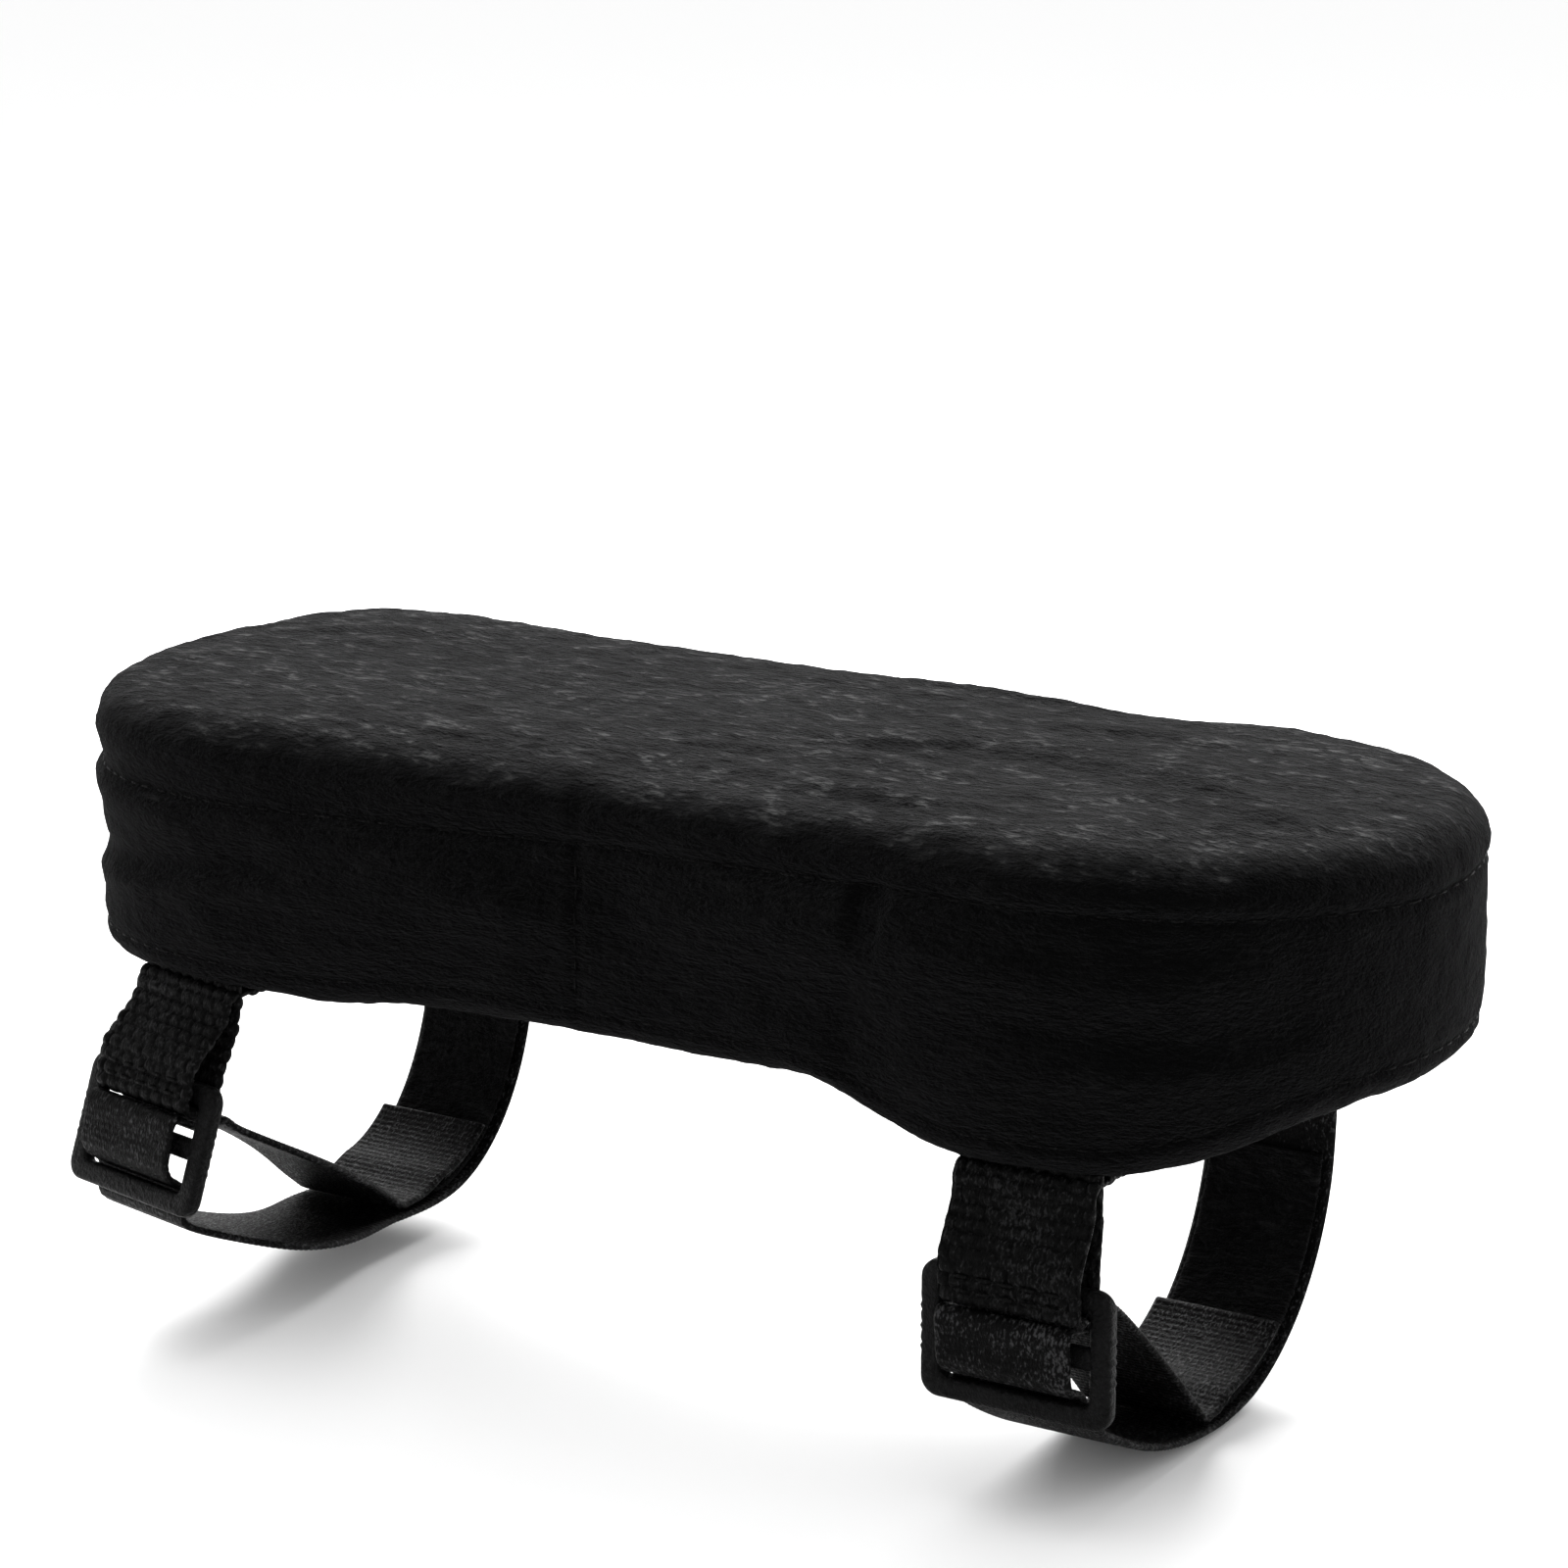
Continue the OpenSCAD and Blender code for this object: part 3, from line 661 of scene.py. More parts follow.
def add_node(tree, a, b, share):
    """a plus a share of b."""
    node = tree.nodes.new("ShaderNodeMath")
    node.operation = "MULTIPLY_ADD"
    tree.links.new(b, node.inputs[0])
    node.inputs[1].default_value = share
    tree.links.new(a, node.inputs[2])
    return node.outputs[0]


def bump_node(tree, shader, height, distance):
    """Bump on a shader, as high as distance in metres where the height is 1."""
    node = tree.nodes.new("ShaderNodeBump")
    node.inputs["Distance"].default_value = distance
    tree.links.new(height, node.inputs["Height"])
    tree.links.new(node.outputs["Normal"], shader.inputs["Normal"])


def plush_material(name, dark, light, bright, sheen, painted_shade_share=1.0):
    """Short pile: brushed streaks, clumps and a soft sheen. Faces that look upwards keep
    the full colour as a painted highlight of the light on the top; the last argument is the share
    of that colour elsewhere, painted shade on the walls."""
    made, tree, shader, place = material(
        name, light, 0.9, Specular_IOR_Level=0.03, Sheen_Weight=sheen, Sheen_Roughness=0.32,
        Sheen_Tint=(0.85, 0.86, 0.9, 1))
    streaks = noise_node(tree, stretched(tree, place, (0.35, 1.0, 1.4), 0.35), 900, 5, 0.62, 0.4)
    clumps = noise_node(tree, stretched(tree, place, (0.6, 1.0, 1.0), 0.2), 210, 4, 0.6)
    patches = noise_node(tree, place, 26, 3, 0.5, 0.6)
    tone = add_node(tree, add_node(tree, streaks, clumps, 0.7), patches, 0.2)
    shrink = tree.nodes.new("ShaderNodeMath")
    shrink.operation = "MULTIPLY"
    shrink.inputs[1].default_value = 0.6
    tree.links.new(tone, shrink.inputs[0])
    colour = ramp_node(tree, shrink.outputs[0], [(0.46, dark), (0.62, light), (0.74, bright)])
    # painted light: by the normal's Z, faces that look upwards keep the full colour as a painted
    # highlight and the walls are darkened as painted shade
    upright = tree.nodes.new("ShaderNodeSeparateXYZ")
    tree.links.new(place.node.outputs["Normal"], upright.inputs[0])
    share = ramp_node(tree, upright.outputs["Z"], [(0.5, grey(painted_shade_share)), (0.97, grey(1.0))])
    product = tree.nodes.new("ShaderNodeVectorMath")
    product.operation = "MULTIPLY"
    tree.links.new(colour, product.inputs[0])
    tree.links.new(share, product.inputs[1])
    tree.links.new(product.outputs[0], shader.inputs["Base Color"])
    fine = noise_node(tree, stretched(tree, place, (0.5, 1.0, 1.2), 0.5), 2200, 3, 0.6)
    pile = add_node(tree, add_node(tree, streaks, clumps, 0.9), fine, 0.6)
    bump_node(tree, shader, pile, PILE_HEIGHT)
    return made


def webbing_material(name, dark, light, bright, sheen):
    """Woven polyester: fine threads that run with the webbing, uneven in tone and gloss."""
    made, tree, shader, place = material(
        name, light, 0.5, Specular_IOR_Level=0.045, Sheen_Weight=sheen, Sheen_Roughness=0.3)
    threads = noise_node(tree, stretched(tree, place, (1.0, 0.5, 0.5)), 2600, 3, 0.6)
    worn = noise_node(tree, place, 90, 4, 0.6)
    tone = add_node(tree, threads, worn, 0.4)
    colour = ramp_node(tree, tone, [(0.6, dark), (0.76, light), (0.86, bright)])
    tree.links.new(colour, shader.inputs["Base Color"])
    gloss = ramp_node(tree, threads, [(0.35, grey(0.62)), (0.7, grey(0.34))])
    tree.links.new(gloss, shader.inputs["Roughness"])
    bump_node(tree, shader, threads, THREAD_HEIGHT)
    return made


def plastic_material(name, dark, light, rough, grain):
    """Moulded plastic with a fine grain and rubbed patches."""
    made, tree, shader, place = material(name, light, rough, Specular_IOR_Level=0.06)
    speckle = noise_node(tree, place, 1500, 3, 0.7)
    worn = noise_node(tree, place, 120, 4, 0.6)
    colour = ramp_node(tree, add_node(tree, speckle, worn, 0.6), [(0.66, dark), (0.98, light)])
    tree.links.new(colour, shader.inputs["Base Color"])
    gloss = ramp_node(tree, speckle, [(0.3, grey(rough + 0.14)), (0.7, grey(rough - 0.1))])
    tree.links.new(gloss, shader.inputs["Roughness"])
    bump_node(tree, shader, speckle, grain)
    return made


MATERIALS = {
    # the plush cover's last number is the painted shade on its walls, against its top painted
    # lighter as a painted highlight
    "plush": plush_material("plush", grey(0.002), grey(0.0135, 0.0005), grey(0.09), 0.022, 0.035),
    "thread": webbing_material("thread", grey(0.0006), grey(0.002), grey(0.006), 0.0),
    "zip_tape": webbing_material("zip_tape", grey(0.001), grey(0.004), grey(0.012), 0.01),
    "coarse_webbing": webbing_material(
        "coarse_webbing", grey(0.0003), grey(0.0016), grey(0.013, 0.0005), 0.0),
    "fine_webbing": webbing_material(
        "fine_webbing", grey(0.0004), grey(0.0014), grey(0.03, 0.001), 0.0),
    "loop_patch": plush_material("loop_patch", grey(0.0005), grey(0.004), grey(0.012), 0.03),
    "hook_patch": plastic_material("hook_patch", grey(0.001), grey(0.004), 0.45, 0.0003),
    "buckle_plastic": plastic_material(
        "buckle_plastic", grey(0.0002), grey(0.0042, 0.0002), 0.4, 0.0005),
    "zip_teeth": plastic_material("zip_teeth", grey(0.002), grey(0.007), 0.36, 0.0001),
    "zip_metal": plastic_material(
        "zip_metal", grey(0.004, 0.0005), grey(0.014, 0.001), 0.3, 0.0001),
}


def dress(thing, slot, body=None):
    """Gives a piece the material named by its record slot, and lets it ride on a body."""
    thing.data.materials.clear()
    thing.data.materials.append(MATERIALS[slot])
    if body:
        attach(thing, body)
    return thing


# ---- webbing ----

TURN_FADE = 30.0
SLIP_START = 26.0
SLIP_LENGTH = 10.0


def twisted(points, turn):
    """A loop's webbing turned with its buckle, less and less towards the middle of the loop."""
    a = np.radians(turn) * ease(-points[:, 1] / TURN_FADE)
    y = points[:, 1] - BUCKLE_Y
    return np.column_stack([
        points[:, 0] * np.cos(a) - y * np.sin(a),
        points[:, 0] * np.sin(a) + y * np.cos(a) + BUCKLE_Y,
        points[:, 2]])


def ribbon(name, path, width, thickness, step, columns, relief, loop, slip=0.0):
    """Webbing along a path of (y, z) points. relief(along, across) lifts its two faces, the
    loop says where it hangs and how it turns, and slip shifts its buckle end sideways."""
    line, along = even_path(path, step)
    tangent = np.gradient(line, axis=0)
    tangent /= np.linalg.norm(tangent, axis=1, keepdims=True)
    normal = np.column_stack([-tangent[:, 1], tangent[:, 0]])
    # the columns crowd towards the two edges, which are rounded
    across = np.linspace(-1, 1, columns)
    across = np.sign(across) * (1 - (1 - np.abs(across)) ** 1.15)
    edge = np.sqrt(np.clip(1 - np.clip((np.abs(across) - 0.93) / 0.07, 0, 1) ** 2, 0.03, 1))
    rings = []
    for side in (1, -1):
        v = across * width / 2
        u, x = np.meshgrid(along, v, indexing="ij")
        lift = side * (thickness / 2 + relief(u, x)) * edge[None, :]
        y = line[:, :1] + normal[:, :1] * lift
        z = line[:, 1:] + normal[:, 1:] * lift
        block = np.stack([x, y, z], 2)
        rings.append(block if side == 1 else block[:, ::-1])
    section = np.concatenate(rings, axis=1)
    count = section.shape[1]
    points = section.reshape(-1, 3)
    faces = grid_faces(len(line), count, closed=True, flip=True)
    faces.append(tuple(range(count)))
    last = (len(line) - 1) * count
    faces.append(tuple(range(last + count - 1, last - 1, -1)))
    points[:, 0] -= slip * ease((-points[:, 1] - SLIP_START) / SLIP_LENGTH)
    points = twisted(points, loop["turn"])
    points[:, 0] += loop["x"]
    points[:, 2] += underside(loop["x"])
    return new_object(name, points, faces)


def fine_ribs(along, across):
    """The fine webbing: low ribs across it, broken up by its lengthwise threads."""
    rib_pitch = 1.05
    thread_pitch = 1.3
    depth = 0.12
    ribs = 0.5 + 0.5 * np.cos(2 * math.pi * along / rib_pitch)
    threads = 0.5 + 0.5 * np.cos(2 * math.pi * across / thread_pitch)
    return depth * (ribs * (0.75 + 0.25 * threads) - 1)


def basket(along, across):
    """The coarse webbing: rows of long stitches, each row set off from its neighbours."""
    pitch = 2.0
    width = 2.6
    depth = 0.8
    row = np.floor(along / pitch)
    a = (along / pitch - row - 0.5) * 2
    b = (((across / width + 0.5 * (row % 2)) % 1.0) - 0.5) * 2
    hump = np.sqrt(np.clip(1 - a * a, 0, 1)) * np.sqrt(np.clip(1 - b ** 4, 0, 1))
    return depth * (hump - 1)


def pitched(points, pitch):
    """(y, z) points of the tab, the buckle or the webbing in it, standing outwards."""
    c = math.cos(math.radians(pitch))
    s = math.sin(math.radians(pitch))
    return [(TAB_Y + (y - TAB_Y) * c + (z - SWING_Z) * s,
             SWING_Z - (y - TAB_Y) * s + (z - SWING_Z) * c) for y, z in points]


def round_point(a, loop, lift):
    """A point of the loop's round part, lifted off the strap's middle towards the inside: a is
    0 at the far side, 90 at the lowest point and 180 at the buckle."""
    low_y = loop["low_y"]
    if a <= 90:
        return (low_y + (FAR_Y - low_y - lift) * math.cos(math.radians(a)),
                ROUND_Z - (ROUND_DEPTH - lift) * math.sin(math.radians(a)))
    t = (a - 90) / 90
    end_y, end_z = pitched([STRAP_ENTRY], loop["pitch"])[0]
    return (mix(low_y, end_y, t), mix(ROUND_Z - ROUND_DEPTH, end_z, t ** RUN_POWER) + lift)


def bend_points(cy, cz, radius, start, end):
    """Points on an arc about (cy, cz), between two angles."""
    return [(cy + radius * math.cos(math.radians(a)), cz + radius * math.sin(math.radians(a)))
            for a in np.linspace(start, end, 9)]


def strap_line(loop):
    """From the sewn end on the underside, round the loop and up through the buckle."""
    leaf = -SEWN_GAP - STRAP / 2
    bend = 1.6
    sewn = [(FAR_Y - 15, leaf), (FAR_Y - 8, leaf)]
    sewn += bend_points(FAR_Y - bend, leaf - bend, bend, 90, 0)
    hung = smooth_curve(
        [(FAR_Y, SWING_Z - 0.2), (FAR_Y, -8)]
        + [round_point(a, loop, 0) for a in range(0, 166, 15)]
        + pitched([
            STRAP_ENTRY,
            (BUCKLE_Y + STRAP_OFF + 0.3, BOTTOM_BAR_Z - 1),
            (BUCKLE_Y + STRAP_OFF - 0.2, BOTTOM_BAR_Z + 1.4),
            (BUCKLE_Y + 0.8, LOWER_SLOT_Z - 1.6),
            (BUCKLE_Y - 1.2, LOWER_SLOT_Z - 0.9),
            (BUCKLE_Y - STRAP_OFF - 0.3, LOWER_SLOT_Z + 0.9),
            (BUCKLE_Y - STRAP_OFF - 0.6, MIDDLE_BAR_Z),
            (BUCKLE_Y - STRAP_OFF - 0.9, MIDDLE_BAR_Z + 2.5),
            (BUCKLE_Y - 2.4, UPPER_SLOT_Z - 0.2),
            (BUCKLE_Y - 1.0, UPPER_SLOT_Z - 0.5),
            (BUCKLE_Y + 1, UPPER_SLOT_Z - 0.8),
            (BUCKLE_Y + 2.4, UPPER_SLOT_Z - 1.2)], loop["pitch"]))
    return np.concatenate([sewn, hung])


def tail_line(loop):
    """From the buckle down onto the inside of the strap."""
    points = pitched([
        (BUCKLE_Y + 1.6, UPPER_SLOT_Z - 1.0),
        (BUCKLE_Y + 3.4, UPPER_SLOT_Z - 0.2),
        (BUCKLE_Y + 6.4, UPPER_SLOT_Z + 0.6)], loop["pitch"])
    start = np.array(pitched([(BUCKLE_Y + 10, UPPER_SLOT_Z - 0.6)], loop["pitch"])[0])
    landing = np.array(round_point(TAIL_DOWN, loop, TAIL_TOUCH))
    for t in (0, 0.33, 0.66, 0.9):
        arch = np.array([0, TAIL_ARCH * t * (1 - t)])
        points.append(tuple(mix(start, landing, t) + arch))
    for a in range(TAIL_DOWN, TAIL_TIP - 1, -4):
        lift = mix(TAIL_LIFT, TAIL_TOUCH, ease((a - TAIL_LANDING + 10) / 14))
        points.append(round_point(a, loop, lift))
    return smooth_curve(points)


def tab_line(loop):
    """Both layers of the tab: sewn end, front layer, round the top bar, back layer."""
    bar_bottom = BUCKLE_TOP - BAR
    half = TAB / 2 + SEWN_GAP
    corner = BUCKLE_THICKNESS / 2
    bend = TAB_OFF - corner
    leaf = -SEWN_GAP - TAB / 2
    front = [(TAB_Y + 15, leaf), (TAB_Y + 5, leaf)]
    front += bend_points(TAB_Y - half + 2, leaf - 2, 2, 90, 180)
    hung = [tuple(p) for p in smooth_curve([
        (TAB_Y - half, -3.8), (TAB_Y - half - 0.4, -6),
        (BUCKLE_Y - TAB_OFF, BUCKLE_TOP + 2.2), (BUCKLE_Y - TAB_OFF, BUCKLE_TOP - 1)])]
    hung += bend_points(BUCKLE_Y - corner, bar_bottom, bend, 180, 270)
    hung += bend_points(BUCKLE_Y + corner, bar_bottom, bend, 270, 360)
    hung += [tuple(p) for p in smooth_curve([
        (BUCKLE_Y + TAB_OFF, BUCKLE_TOP - 1), (BUCKLE_Y + TAB_OFF, BUCKLE_TOP + 2.2),
        (TAB_Y + half + 0.3, -6.6), (TAB_Y + half + 0.1, -5.2)])]
    back = [(TAB_Y + half + 0.1, -2.6), (TAB_Y + half + 0.1, 0.6)]
    return np.array(front + pitched(hung, loop["pitch"]) + back)


# ---- buckle, threads and patches ----

def hung_points(points, loop):
    """Points of a rigid piece near the buckle, standing outwards, turned and put in place."""
    points = np.asarray(points, float)
    a = math.radians(loop["turn"])
    x = points[:, 0]
    y, z = np.array(pitched(points[:, 1:], loop["pitch"])).T
    y = y - BUCKLE_Y
    return np.column_stack([
        x * math.cos(a) - y * math.sin(a) + loop["x"],
        x * math.sin(a) + y * math.cos(a) + BUCKLE_Y,
        z + underside(loop["x"])])


def round_rectangle(width, height, radius):
    """A rectangle's outline with round corners, evenly split on each side and corner."""
    corner_steps = 10
    side_steps = 24
    corners = ((1, 1), (-1, 1), (-1, -1), (1, -1))
    out = []
    for quarter, (right, up) in enumerate(corners):
        centre = np.array([(width / 2 - radius) * right, (height / 2 - radius) * up])
        angles = math.pi / 2 * (quarter + np.arange(corner_steps + 1) / corner_steps)
        arc = centre + radius * np.column_stack([np.cos(angles), np.sin(angles)])
        right, up = corners[(quarter + 1) % 4]
        first = math.pi / 2 * (quarter + 1)
        following = np.array([(width / 2 - radius) * right, (height / 2 - radius) * up])
        following = following + radius * np.array([math.cos(first), math.sin(first)])
        out += list(arc)
        out += [mix(arc[-1], following, k / side_steps) for k in range(1, side_steps)]
    return np.array(out)


def squared(angle, power):
    """Cosine and sine of an angle, pushed out towards a square by a power below 1."""
    c = math.cos(angle)
    s = math.sin(angle)
    return math.copysign(abs(c) ** power, c), math.copysign(abs(s) ** power, s)


def buckle_frame():
    """The buckle's frame about its own middle: soft edges, crowned rails and ribbed grips."""
    outer = round_rectangle(BUCKLE_WIDTH, BUCKLE_HEIGHT, 2.7)
    inner = round_rectangle(WINDOW, BUCKLE_HEIGHT - 2 * BAR, 1.0)
    crown = 0.16
    grip_height = 0.16
    grip_pitch = 1.5
    sides = 24
    rings = []
    for k in range(sides):
        angle = 2 * math.pi * (k + 0.5) / sides
        across = squared(angle, 0.45)[0]
        height = squared(angle, 0.5)[1] * (BUCKLE_THICKNESS / 2 - crown * abs(across) ** 3)
        inwards = 0.5 - 0.5 * across
        p = mix(outer, inner, inwards)
        grip = grip_height * max(0.0, 1 - 3.2 * inwards) * ease((5.0 - np.abs(p[:, 1])) / 1.2)
        grip *= np.cos(2 * math.pi * p[:, 1] / grip_pitch) * (np.abs(p[:, 0]) > WINDOW / 2)
        rings.append(np.column_stack([
            p[:, 0] + np.sign(p[:, 0]) * grip, p[:, 1], np.full(len(p), height)]))
    around = len(outer)
    faces = [(r * sides + c, r * sides + (c + 1) % sides,
              ((r + 1) % around) * sides + (c + 1) % sides, ((r + 1) % around) * sides + c)
             for r in range(around) for c in range(sides)]
    return np.stack(rings, 1).reshape(-1, 3), faces


def buckle_bar(start):
    """The middle bar, its ends sunk in the rails; start is its first point's number."""
    sink = 0.6
    sides = 24
    stations = np.linspace(-WINDOW / 2 - sink, WINDOW / 2 + sink, 40)
    points = []
    for x in stations:
        for k in range(sides):
            y, z = squared(2 * math.pi * k / sides, 0.7)
            points.append((x, y * BAR / 2, z * (BUCKLE_THICKNESS / 2 - 0.25)))
    last = start + sides * (len(stations) - 1)
    faces = grid_faces(len(stations), sides, closed=True, start=start, flip=True)
    faces.append(tuple(range(start, start + sides)))
    faces.append(tuple(range(last + sides - 1, last - 1, -1)))
    return points, faces


def build_buckle(end):
    """The slide buckle, hung on its tab."""
    frame_points, frame_faces = buckle_frame()
    bar_points, bar_faces = buckle_bar(len(frame_points))
    x, y, z = np.concatenate([frame_points, bar_points]).T
    centre = BUCKLE_TOP - BUCKLE_HEIGHT / 2
    hung = hung_points(np.column_stack([x, BUCKLE_Y - z, centre + y]), LOOPS[end])
    made = new_object("slide_buckle_" + end, hung, frame_faces + bar_faces)
    dress(made, "buckle_plastic", end + "_loop")
    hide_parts("buckle_" + end)


def thread_mesh(stitches, radius, rise):
    """Small rounded threads; each stitch is its two ends and the way out of the cloth."""
    points = []
    faces = []
    rows = 7
    sides = 6
    for a, b, out in stitches:
        a, b, out = (np.asarray(v, float) for v in (a, b, out))
        way = (b - a) / np.linalg.norm(b - a)
        across = np.cross(way, out)
        start = len(points)
        for r in range(rows):
            t = r / (rows - 1)
            thick = radius * math.sqrt(max(0.06, 1 - (2 * t - 1) ** 4))
            centre = mix(a, b, t) + out * rise * (1 - (2 * t - 1) ** 2)
            for k in range(sides):
                angle = 2 * math.pi * k / sides
                points.append(centre + thick * (math.cos(angle) * across + math.sin(angle) * out))
        faces += grid_faces(rows, sides, closed=True, start=start)
        faces.append(tuple(range(start + sides - 1, start - 1, -1)))
        end = start + sides * (rows - 1)
        faces.append(tuple(range(end, end + sides)))
    return points, faces


def build_threads(name, stitches, body, replaced, radius=0.28, rise=0.2):
    """One piece of all the stitches of a seam."""
    points, faces = thread_mesh(stitches, radius, rise)
    made = dress(new_object(name, points, faces), "thread", body)
    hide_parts(replaced)


def row_of_stitches(half_width, y, z, out, pitch):
    """Stitches side by side along X, about the loop's own middle."""
    length = 2.3
    count = int(2 * half_width / pitch)
    starts = [-half_width + (k + 0.5) * 2 * half_width / count for k in range(count)]
    return [((x - length / 2, y, z), (x + length / 2, y, z), out) for x in starts]


def fuzz(along, across):
    """Loop tape: a tangled low pile on its inner face."""
    flat = np.column_stack([along.ravel(), across.ravel(), np.zeros(along.size)])
    tufts = 0.14 * lattice_noise(flat, (1.1, 1.0, 1), 21)
    ends = 0.08 * lattice_noise(flat, (0.5, 0.6, 1), 22)
    return (tufts + ends).reshape(along.shape) - 0.1


def hooks(along, across):
    """Hook tape: rows of small stubs."""
    row_pitch = 1.3
    stub_pitch = 1.2
    height = 0.3
    a = np.abs(((along / row_pitch) % 1.0) - 0.5) * 2
    b = np.abs(((across / stub_pitch) % 1.0) - 0.5) * 2
    return height * (ease((0.55 - a) / 0.3) * ease((0.6 - b) / 0.3) - 0.6)


def build_patches(end):
    """The loop tape on the strap and the hook tape on the tail, which lie on each other."""
    loop = LOOPS[end]
    low = (STRAP + PATCH) / 2 + SEWN_GAP
    high = TAIL_LIFT - (STRAP + PATCH) / 2 - SEWN_GAP
    pieces = (
        ("loop_patch", 8, TAIL_LANDING - 6, low, fuzz, "_loop"),
        ("hook_patch", TAIL_TIP + 4, TAIL_LANDING - 12, high, hooks, "_tail"),
    )
    for name, first, last, lift, relief, body in pieces:
        path = [round_point(a, loop, lift) for a in np.linspace(first, last, 30)]
        tape = ribbon(name + "_tape_" + end, path, WEBBING - 2, PATCH, 0.3, 56, relief,
                      {**loop, "turn": 0})
        dress(tape, name, end + body)
        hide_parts(name + "_" + end)


def sewn_blend(thing):
    """Bakes the webbing's place into its mesh."""
    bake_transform(thing)


def build_webbing(end):
    """A loop's strap with its tail, and the doubled tab that holds the buckle."""
    loop = LOOPS[end]
    strap = ribbon("strap_webbing_" + end, strap_line(loop), STRAP_WIDTH, STRAP - 0.1, 0.26, 31,
                   fine_ribs, loop, STRAP_SLIP)
    dress(strap, "fine_webbing")
    sewn_blend(strap)
    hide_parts("strap_" + end, "strap_root_" + end)

    tail = ribbon("tail_webbing_" + end, tail_line(loop), WEBBING, STRAP - 0.1, 0.26, 31,
                  fine_ribs, loop)
    dress(tail, "fine_webbing", end + "_tail")
    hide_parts("strap_tail_" + end)

    tab = ribbon("tab_webbing_" + end, tab_line(loop), TAB_WIDTH, TAB, 0.3, 71, basket, loop)
    dress(tab, "coarse_webbing")
    sewn_blend(tab)
    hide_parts("buckle_tab_" + end, "tab_root_" + end)


def build_loop_threads(end):
    """Two rows of stitches across the tab, and three through each sewn end."""
    loop = LOOPS[end]
    front = BUCKLE_Y - TAB_OFF - TAB / 2 + 0.05
    rows = [row_of_stitches(WEBBING / 2 - 1.5, front, BUCKLE_TOP - drop, (0, -1, 0), 2.9)
            for drop in (0.4, 2.4)]
    hung = [(*hung_points([a, b], loop), out) for row in rows for a, b, out in row]
    build_threads("tab_threads_" + end, hung, end + "_loop", "tab_stitches_" + end)

    rows = [row_of_stitches(WEBBING / 2 - 2, first + step, -SEWN_GAP - thick, (0, 0, -1), 3.4)
            for first, thick in ((NEAR_Y + 4, TAB), (FAR_Y - 13, STRAP))
            for step in (0, 4.5, 9)]
    place = np.array([loop["x"], 0, underside(loop["x"])])
    sewn = [(place + a, place + b, out) for row in rows for a, b, out in row]
    build_threads("root_threads_" + end, sewn, "pad", "root_stitches_" + end)


def build_loop(end):
    """Everything that hangs below one end of the pad, and what sews it on."""
    build_webbing(end)
    build_buckle(end)
    build_patches(end)
    build_loop_threads(end)


# ---- the cushion ----

def seam_stitches(path, found, points, normals):
    """Stitches in a groove of the cover, along a path on its plain skin."""
    line, _ = even_path(path, 3.4)
    out = []
    for a, b in zip(line[:-1], line[1:]):
        first, last = (found.find(mix(a, b, t))[1] for t in (0.16, 0.84))
        way = normals[first]
        stitch = (points[first] + way * 0.05, points[last] + way * 0.05, way)
        if np.linalg.norm(stitch[1] - stitch[0]) > 0.5:
            out.append(stitch)
    return out


def build_pad():
    """The cover, and the stitches in its top, bottom and closing seams."""
    points, faces, rest, normals = pad_shape()
    cover = new_object("plush_cover", points, faces)
    dress(cover, "plush", "pad")
    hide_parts("cover_top_panel", "cover_bottom_panel", "wall_band_plain_end",
                "wall_band_thick_end", "wall_strip_upper", "wall_strip_lower", "foam_core")

    outline = ring(0, 300)
    outline = np.concatenate([outline, outline[:1]])
    x = outline[:, 0]
    closing_y = WAIST - HALF_WIDTH
    seams = (
        ("upper_seam_threads", "top_seam_stitches", np.column_stack([outline, top_seam(x)])),
        ("lower_seam_threads", "bottom_seam_stitches",
         np.column_stack([outline, underside(x) + BOTTOM_ROLL])),
        ("closing_seam_threads", "closing_seam_stitches",
         [(SEAM_X, closing_y, BOTTOM_ROLL + 2), (SEAM_X, closing_y, top_seam(SEAM_X) - 2)]),
    )
    found = tree_of(rest)
    for name, replaced, path in seams:
        stitches = seam_stitches(path, found, points, normals)
        build_threads(name, stitches, "pad", replaced, 0.17, 0.08)


def dress_cad_pieces():
    """The CAD's own pieces that still show get the materials of their record slots."""
    slots = {part["node"]: part["material_slot"] for part in frame["record"]["subparts"]}
    for name, node in frame["nodes"].items():
        if node.hide_render:
            continue
        node.data.materials.clear()
        node.data.materials.append(MATERIALS[slots[name]])


# ---- camera, light and floor ----

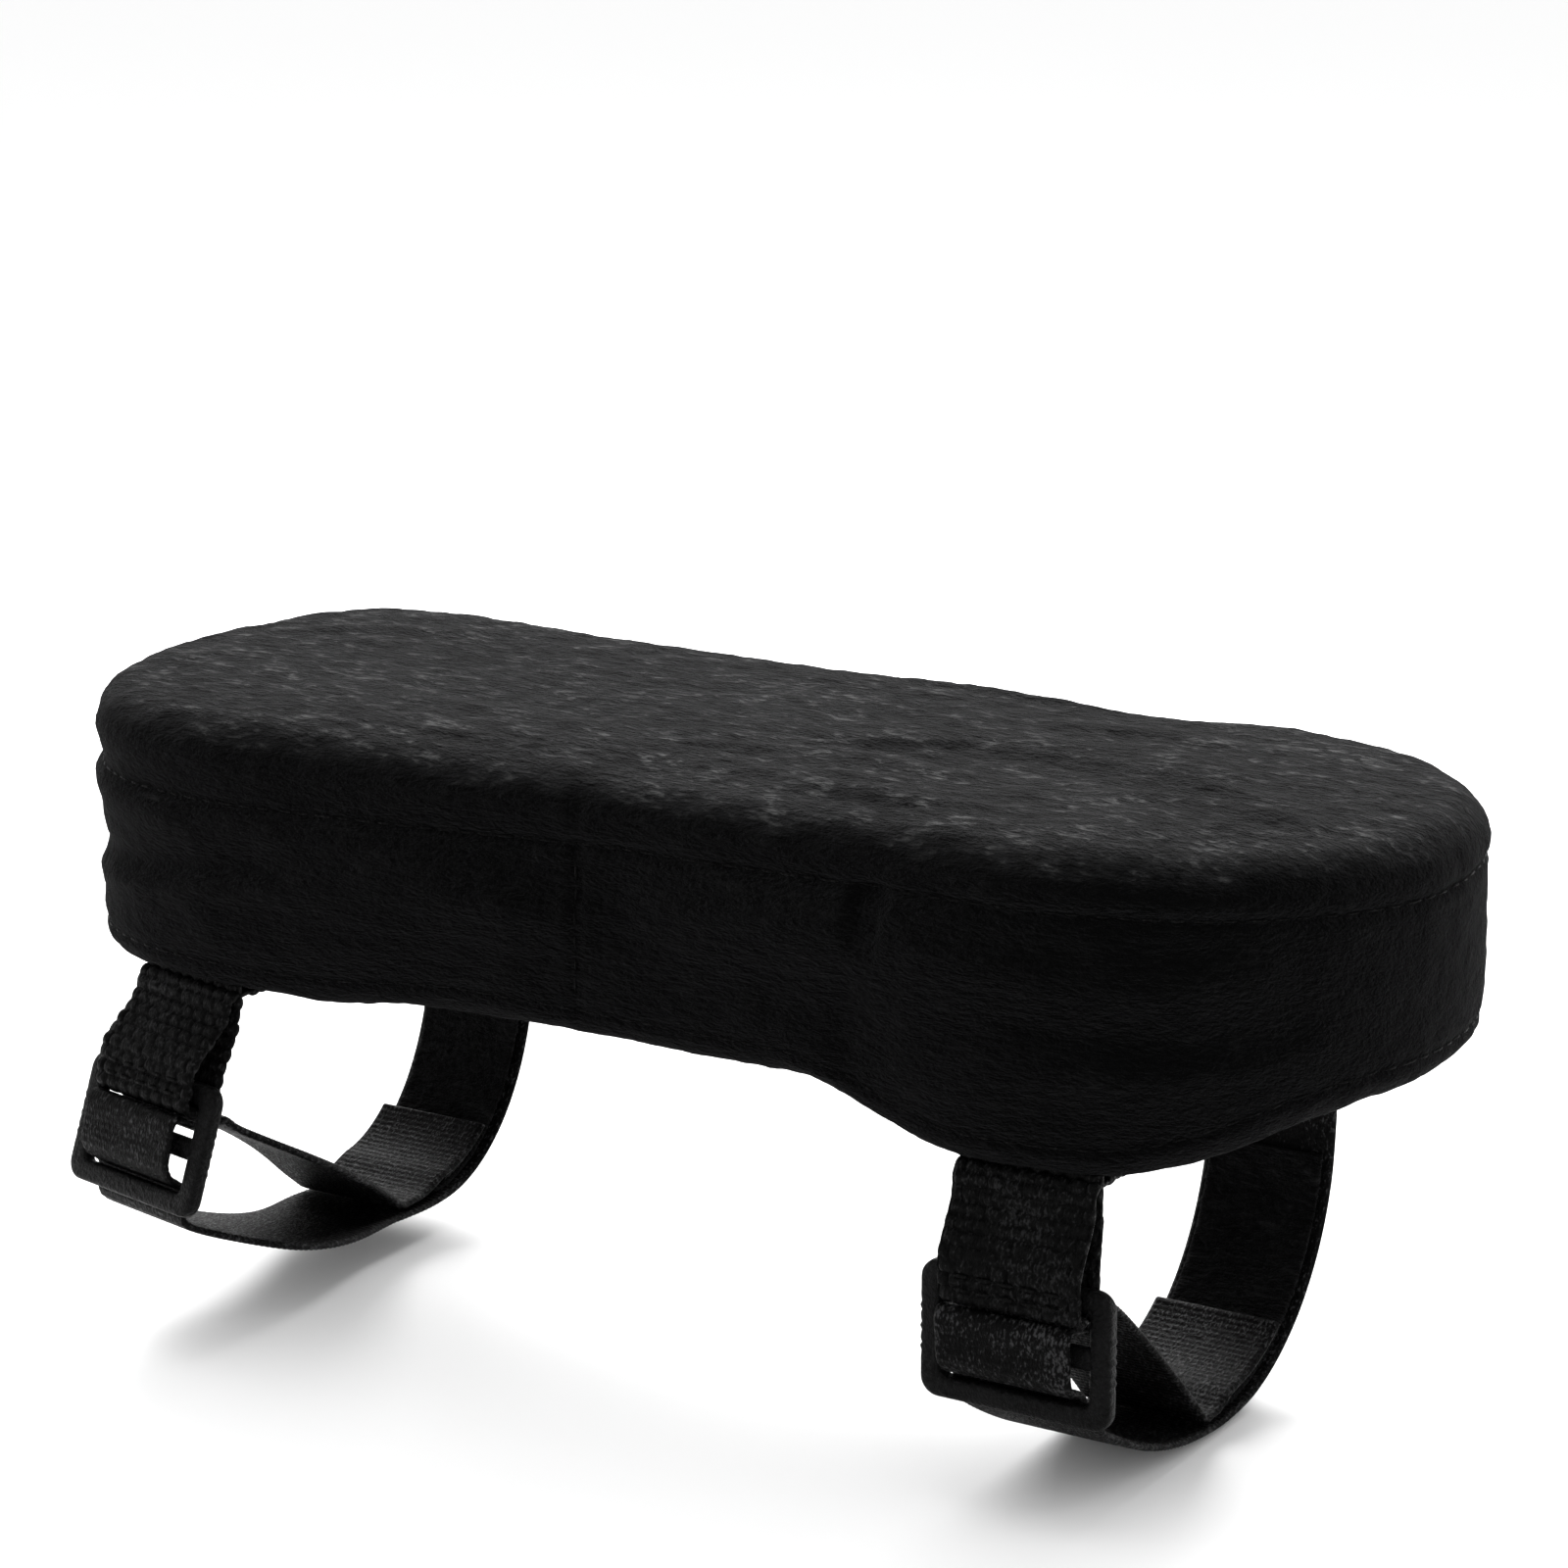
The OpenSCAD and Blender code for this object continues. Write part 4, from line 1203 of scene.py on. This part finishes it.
CAMERA_PLACE = Vector((342.7, -550.7, 198.5)) * MM
CAMERA_YAW = math.radians(31.61)
CAMERA_PITCH = math.radians(14.64)
CAMERA_LENS = 106.6
AIM_HEIGHT = 20.0


def add_camera():
    """The photograph's view, fitted to the pad's outline and the buckles."""
    data = bpy.data.cameras.new("camera")
    data.lens = CAMERA_LENS
    data.sensor_width = 36
    data.clip_start = 0.05
    data.clip_end = 20
    camera = bpy.data.objects.new("camera", data)
    bpy.context.scene.collection.objects.link(camera)
    camera.location = CAMERA_PLACE
    camera.rotation_euler = (math.pi / 2 - CAMERA_PITCH, 0, CAMERA_YAW)
    bpy.context.scene.camera = camera


def add_area(name, place, size, power):
    """A soft rectangular lamp, with its place and size in metres, aimed at the pad."""
    target = Vector((0, 0, AIM_HEIGHT)) * MM
    data = bpy.data.lights.new(name, "AREA")
    data.shape = "RECTANGLE"
    data.size, data.size_y = size
    data.energy = power
    lamp = bpy.data.objects.new(name, data)
    bpy.context.scene.collection.objects.link(lamp)
    lamp.location = place
    lamp.rotation_euler = (target - Vector(place)).to_track_quat("-Z", "Y").to_euler()


def add_floor():
    """A pale floor just below the loops."""
    level = cad_low.z / MM - 0.6
    half_size = 3000
    steps = 12
    edge = np.linspace(-half_size, half_size, steps)
    points = [(a, b, level) for a in edge for b in edge]
    floor = new_object("floor", points, grid_faces(steps, steps))
    made, _, _, _ = material("floor", grey(0.94), 0.7, Specular_IOR_Level=0.1)
    floor.data.materials.append(made)


def add_world():
    """An even white surround."""
    world = bpy.data.worlds.new("world")
    bpy.context.scene.world = world
    world.use_nodes = True
    back = world.node_tree.nodes["Background"]
    back.inputs["Color"].default_value = (1, 1, 1, 1)
    back.inputs["Strength"].default_value = 1.02


for each in LOOPS:
    build_loop(each)
build_pad()
dress_cad_pieces()

bpy.context.scene.view_settings.view_transform = "Standard"
add_camera()
add_area("key_behind", place=(-0.35, 0.8, 0.62), size=(1.1, 0.5), power=26)
add_area("soft_above", place=(0.1, 0.1, 1.1), size=(1.0, 1.0), power=6)
add_floor()
add_world()
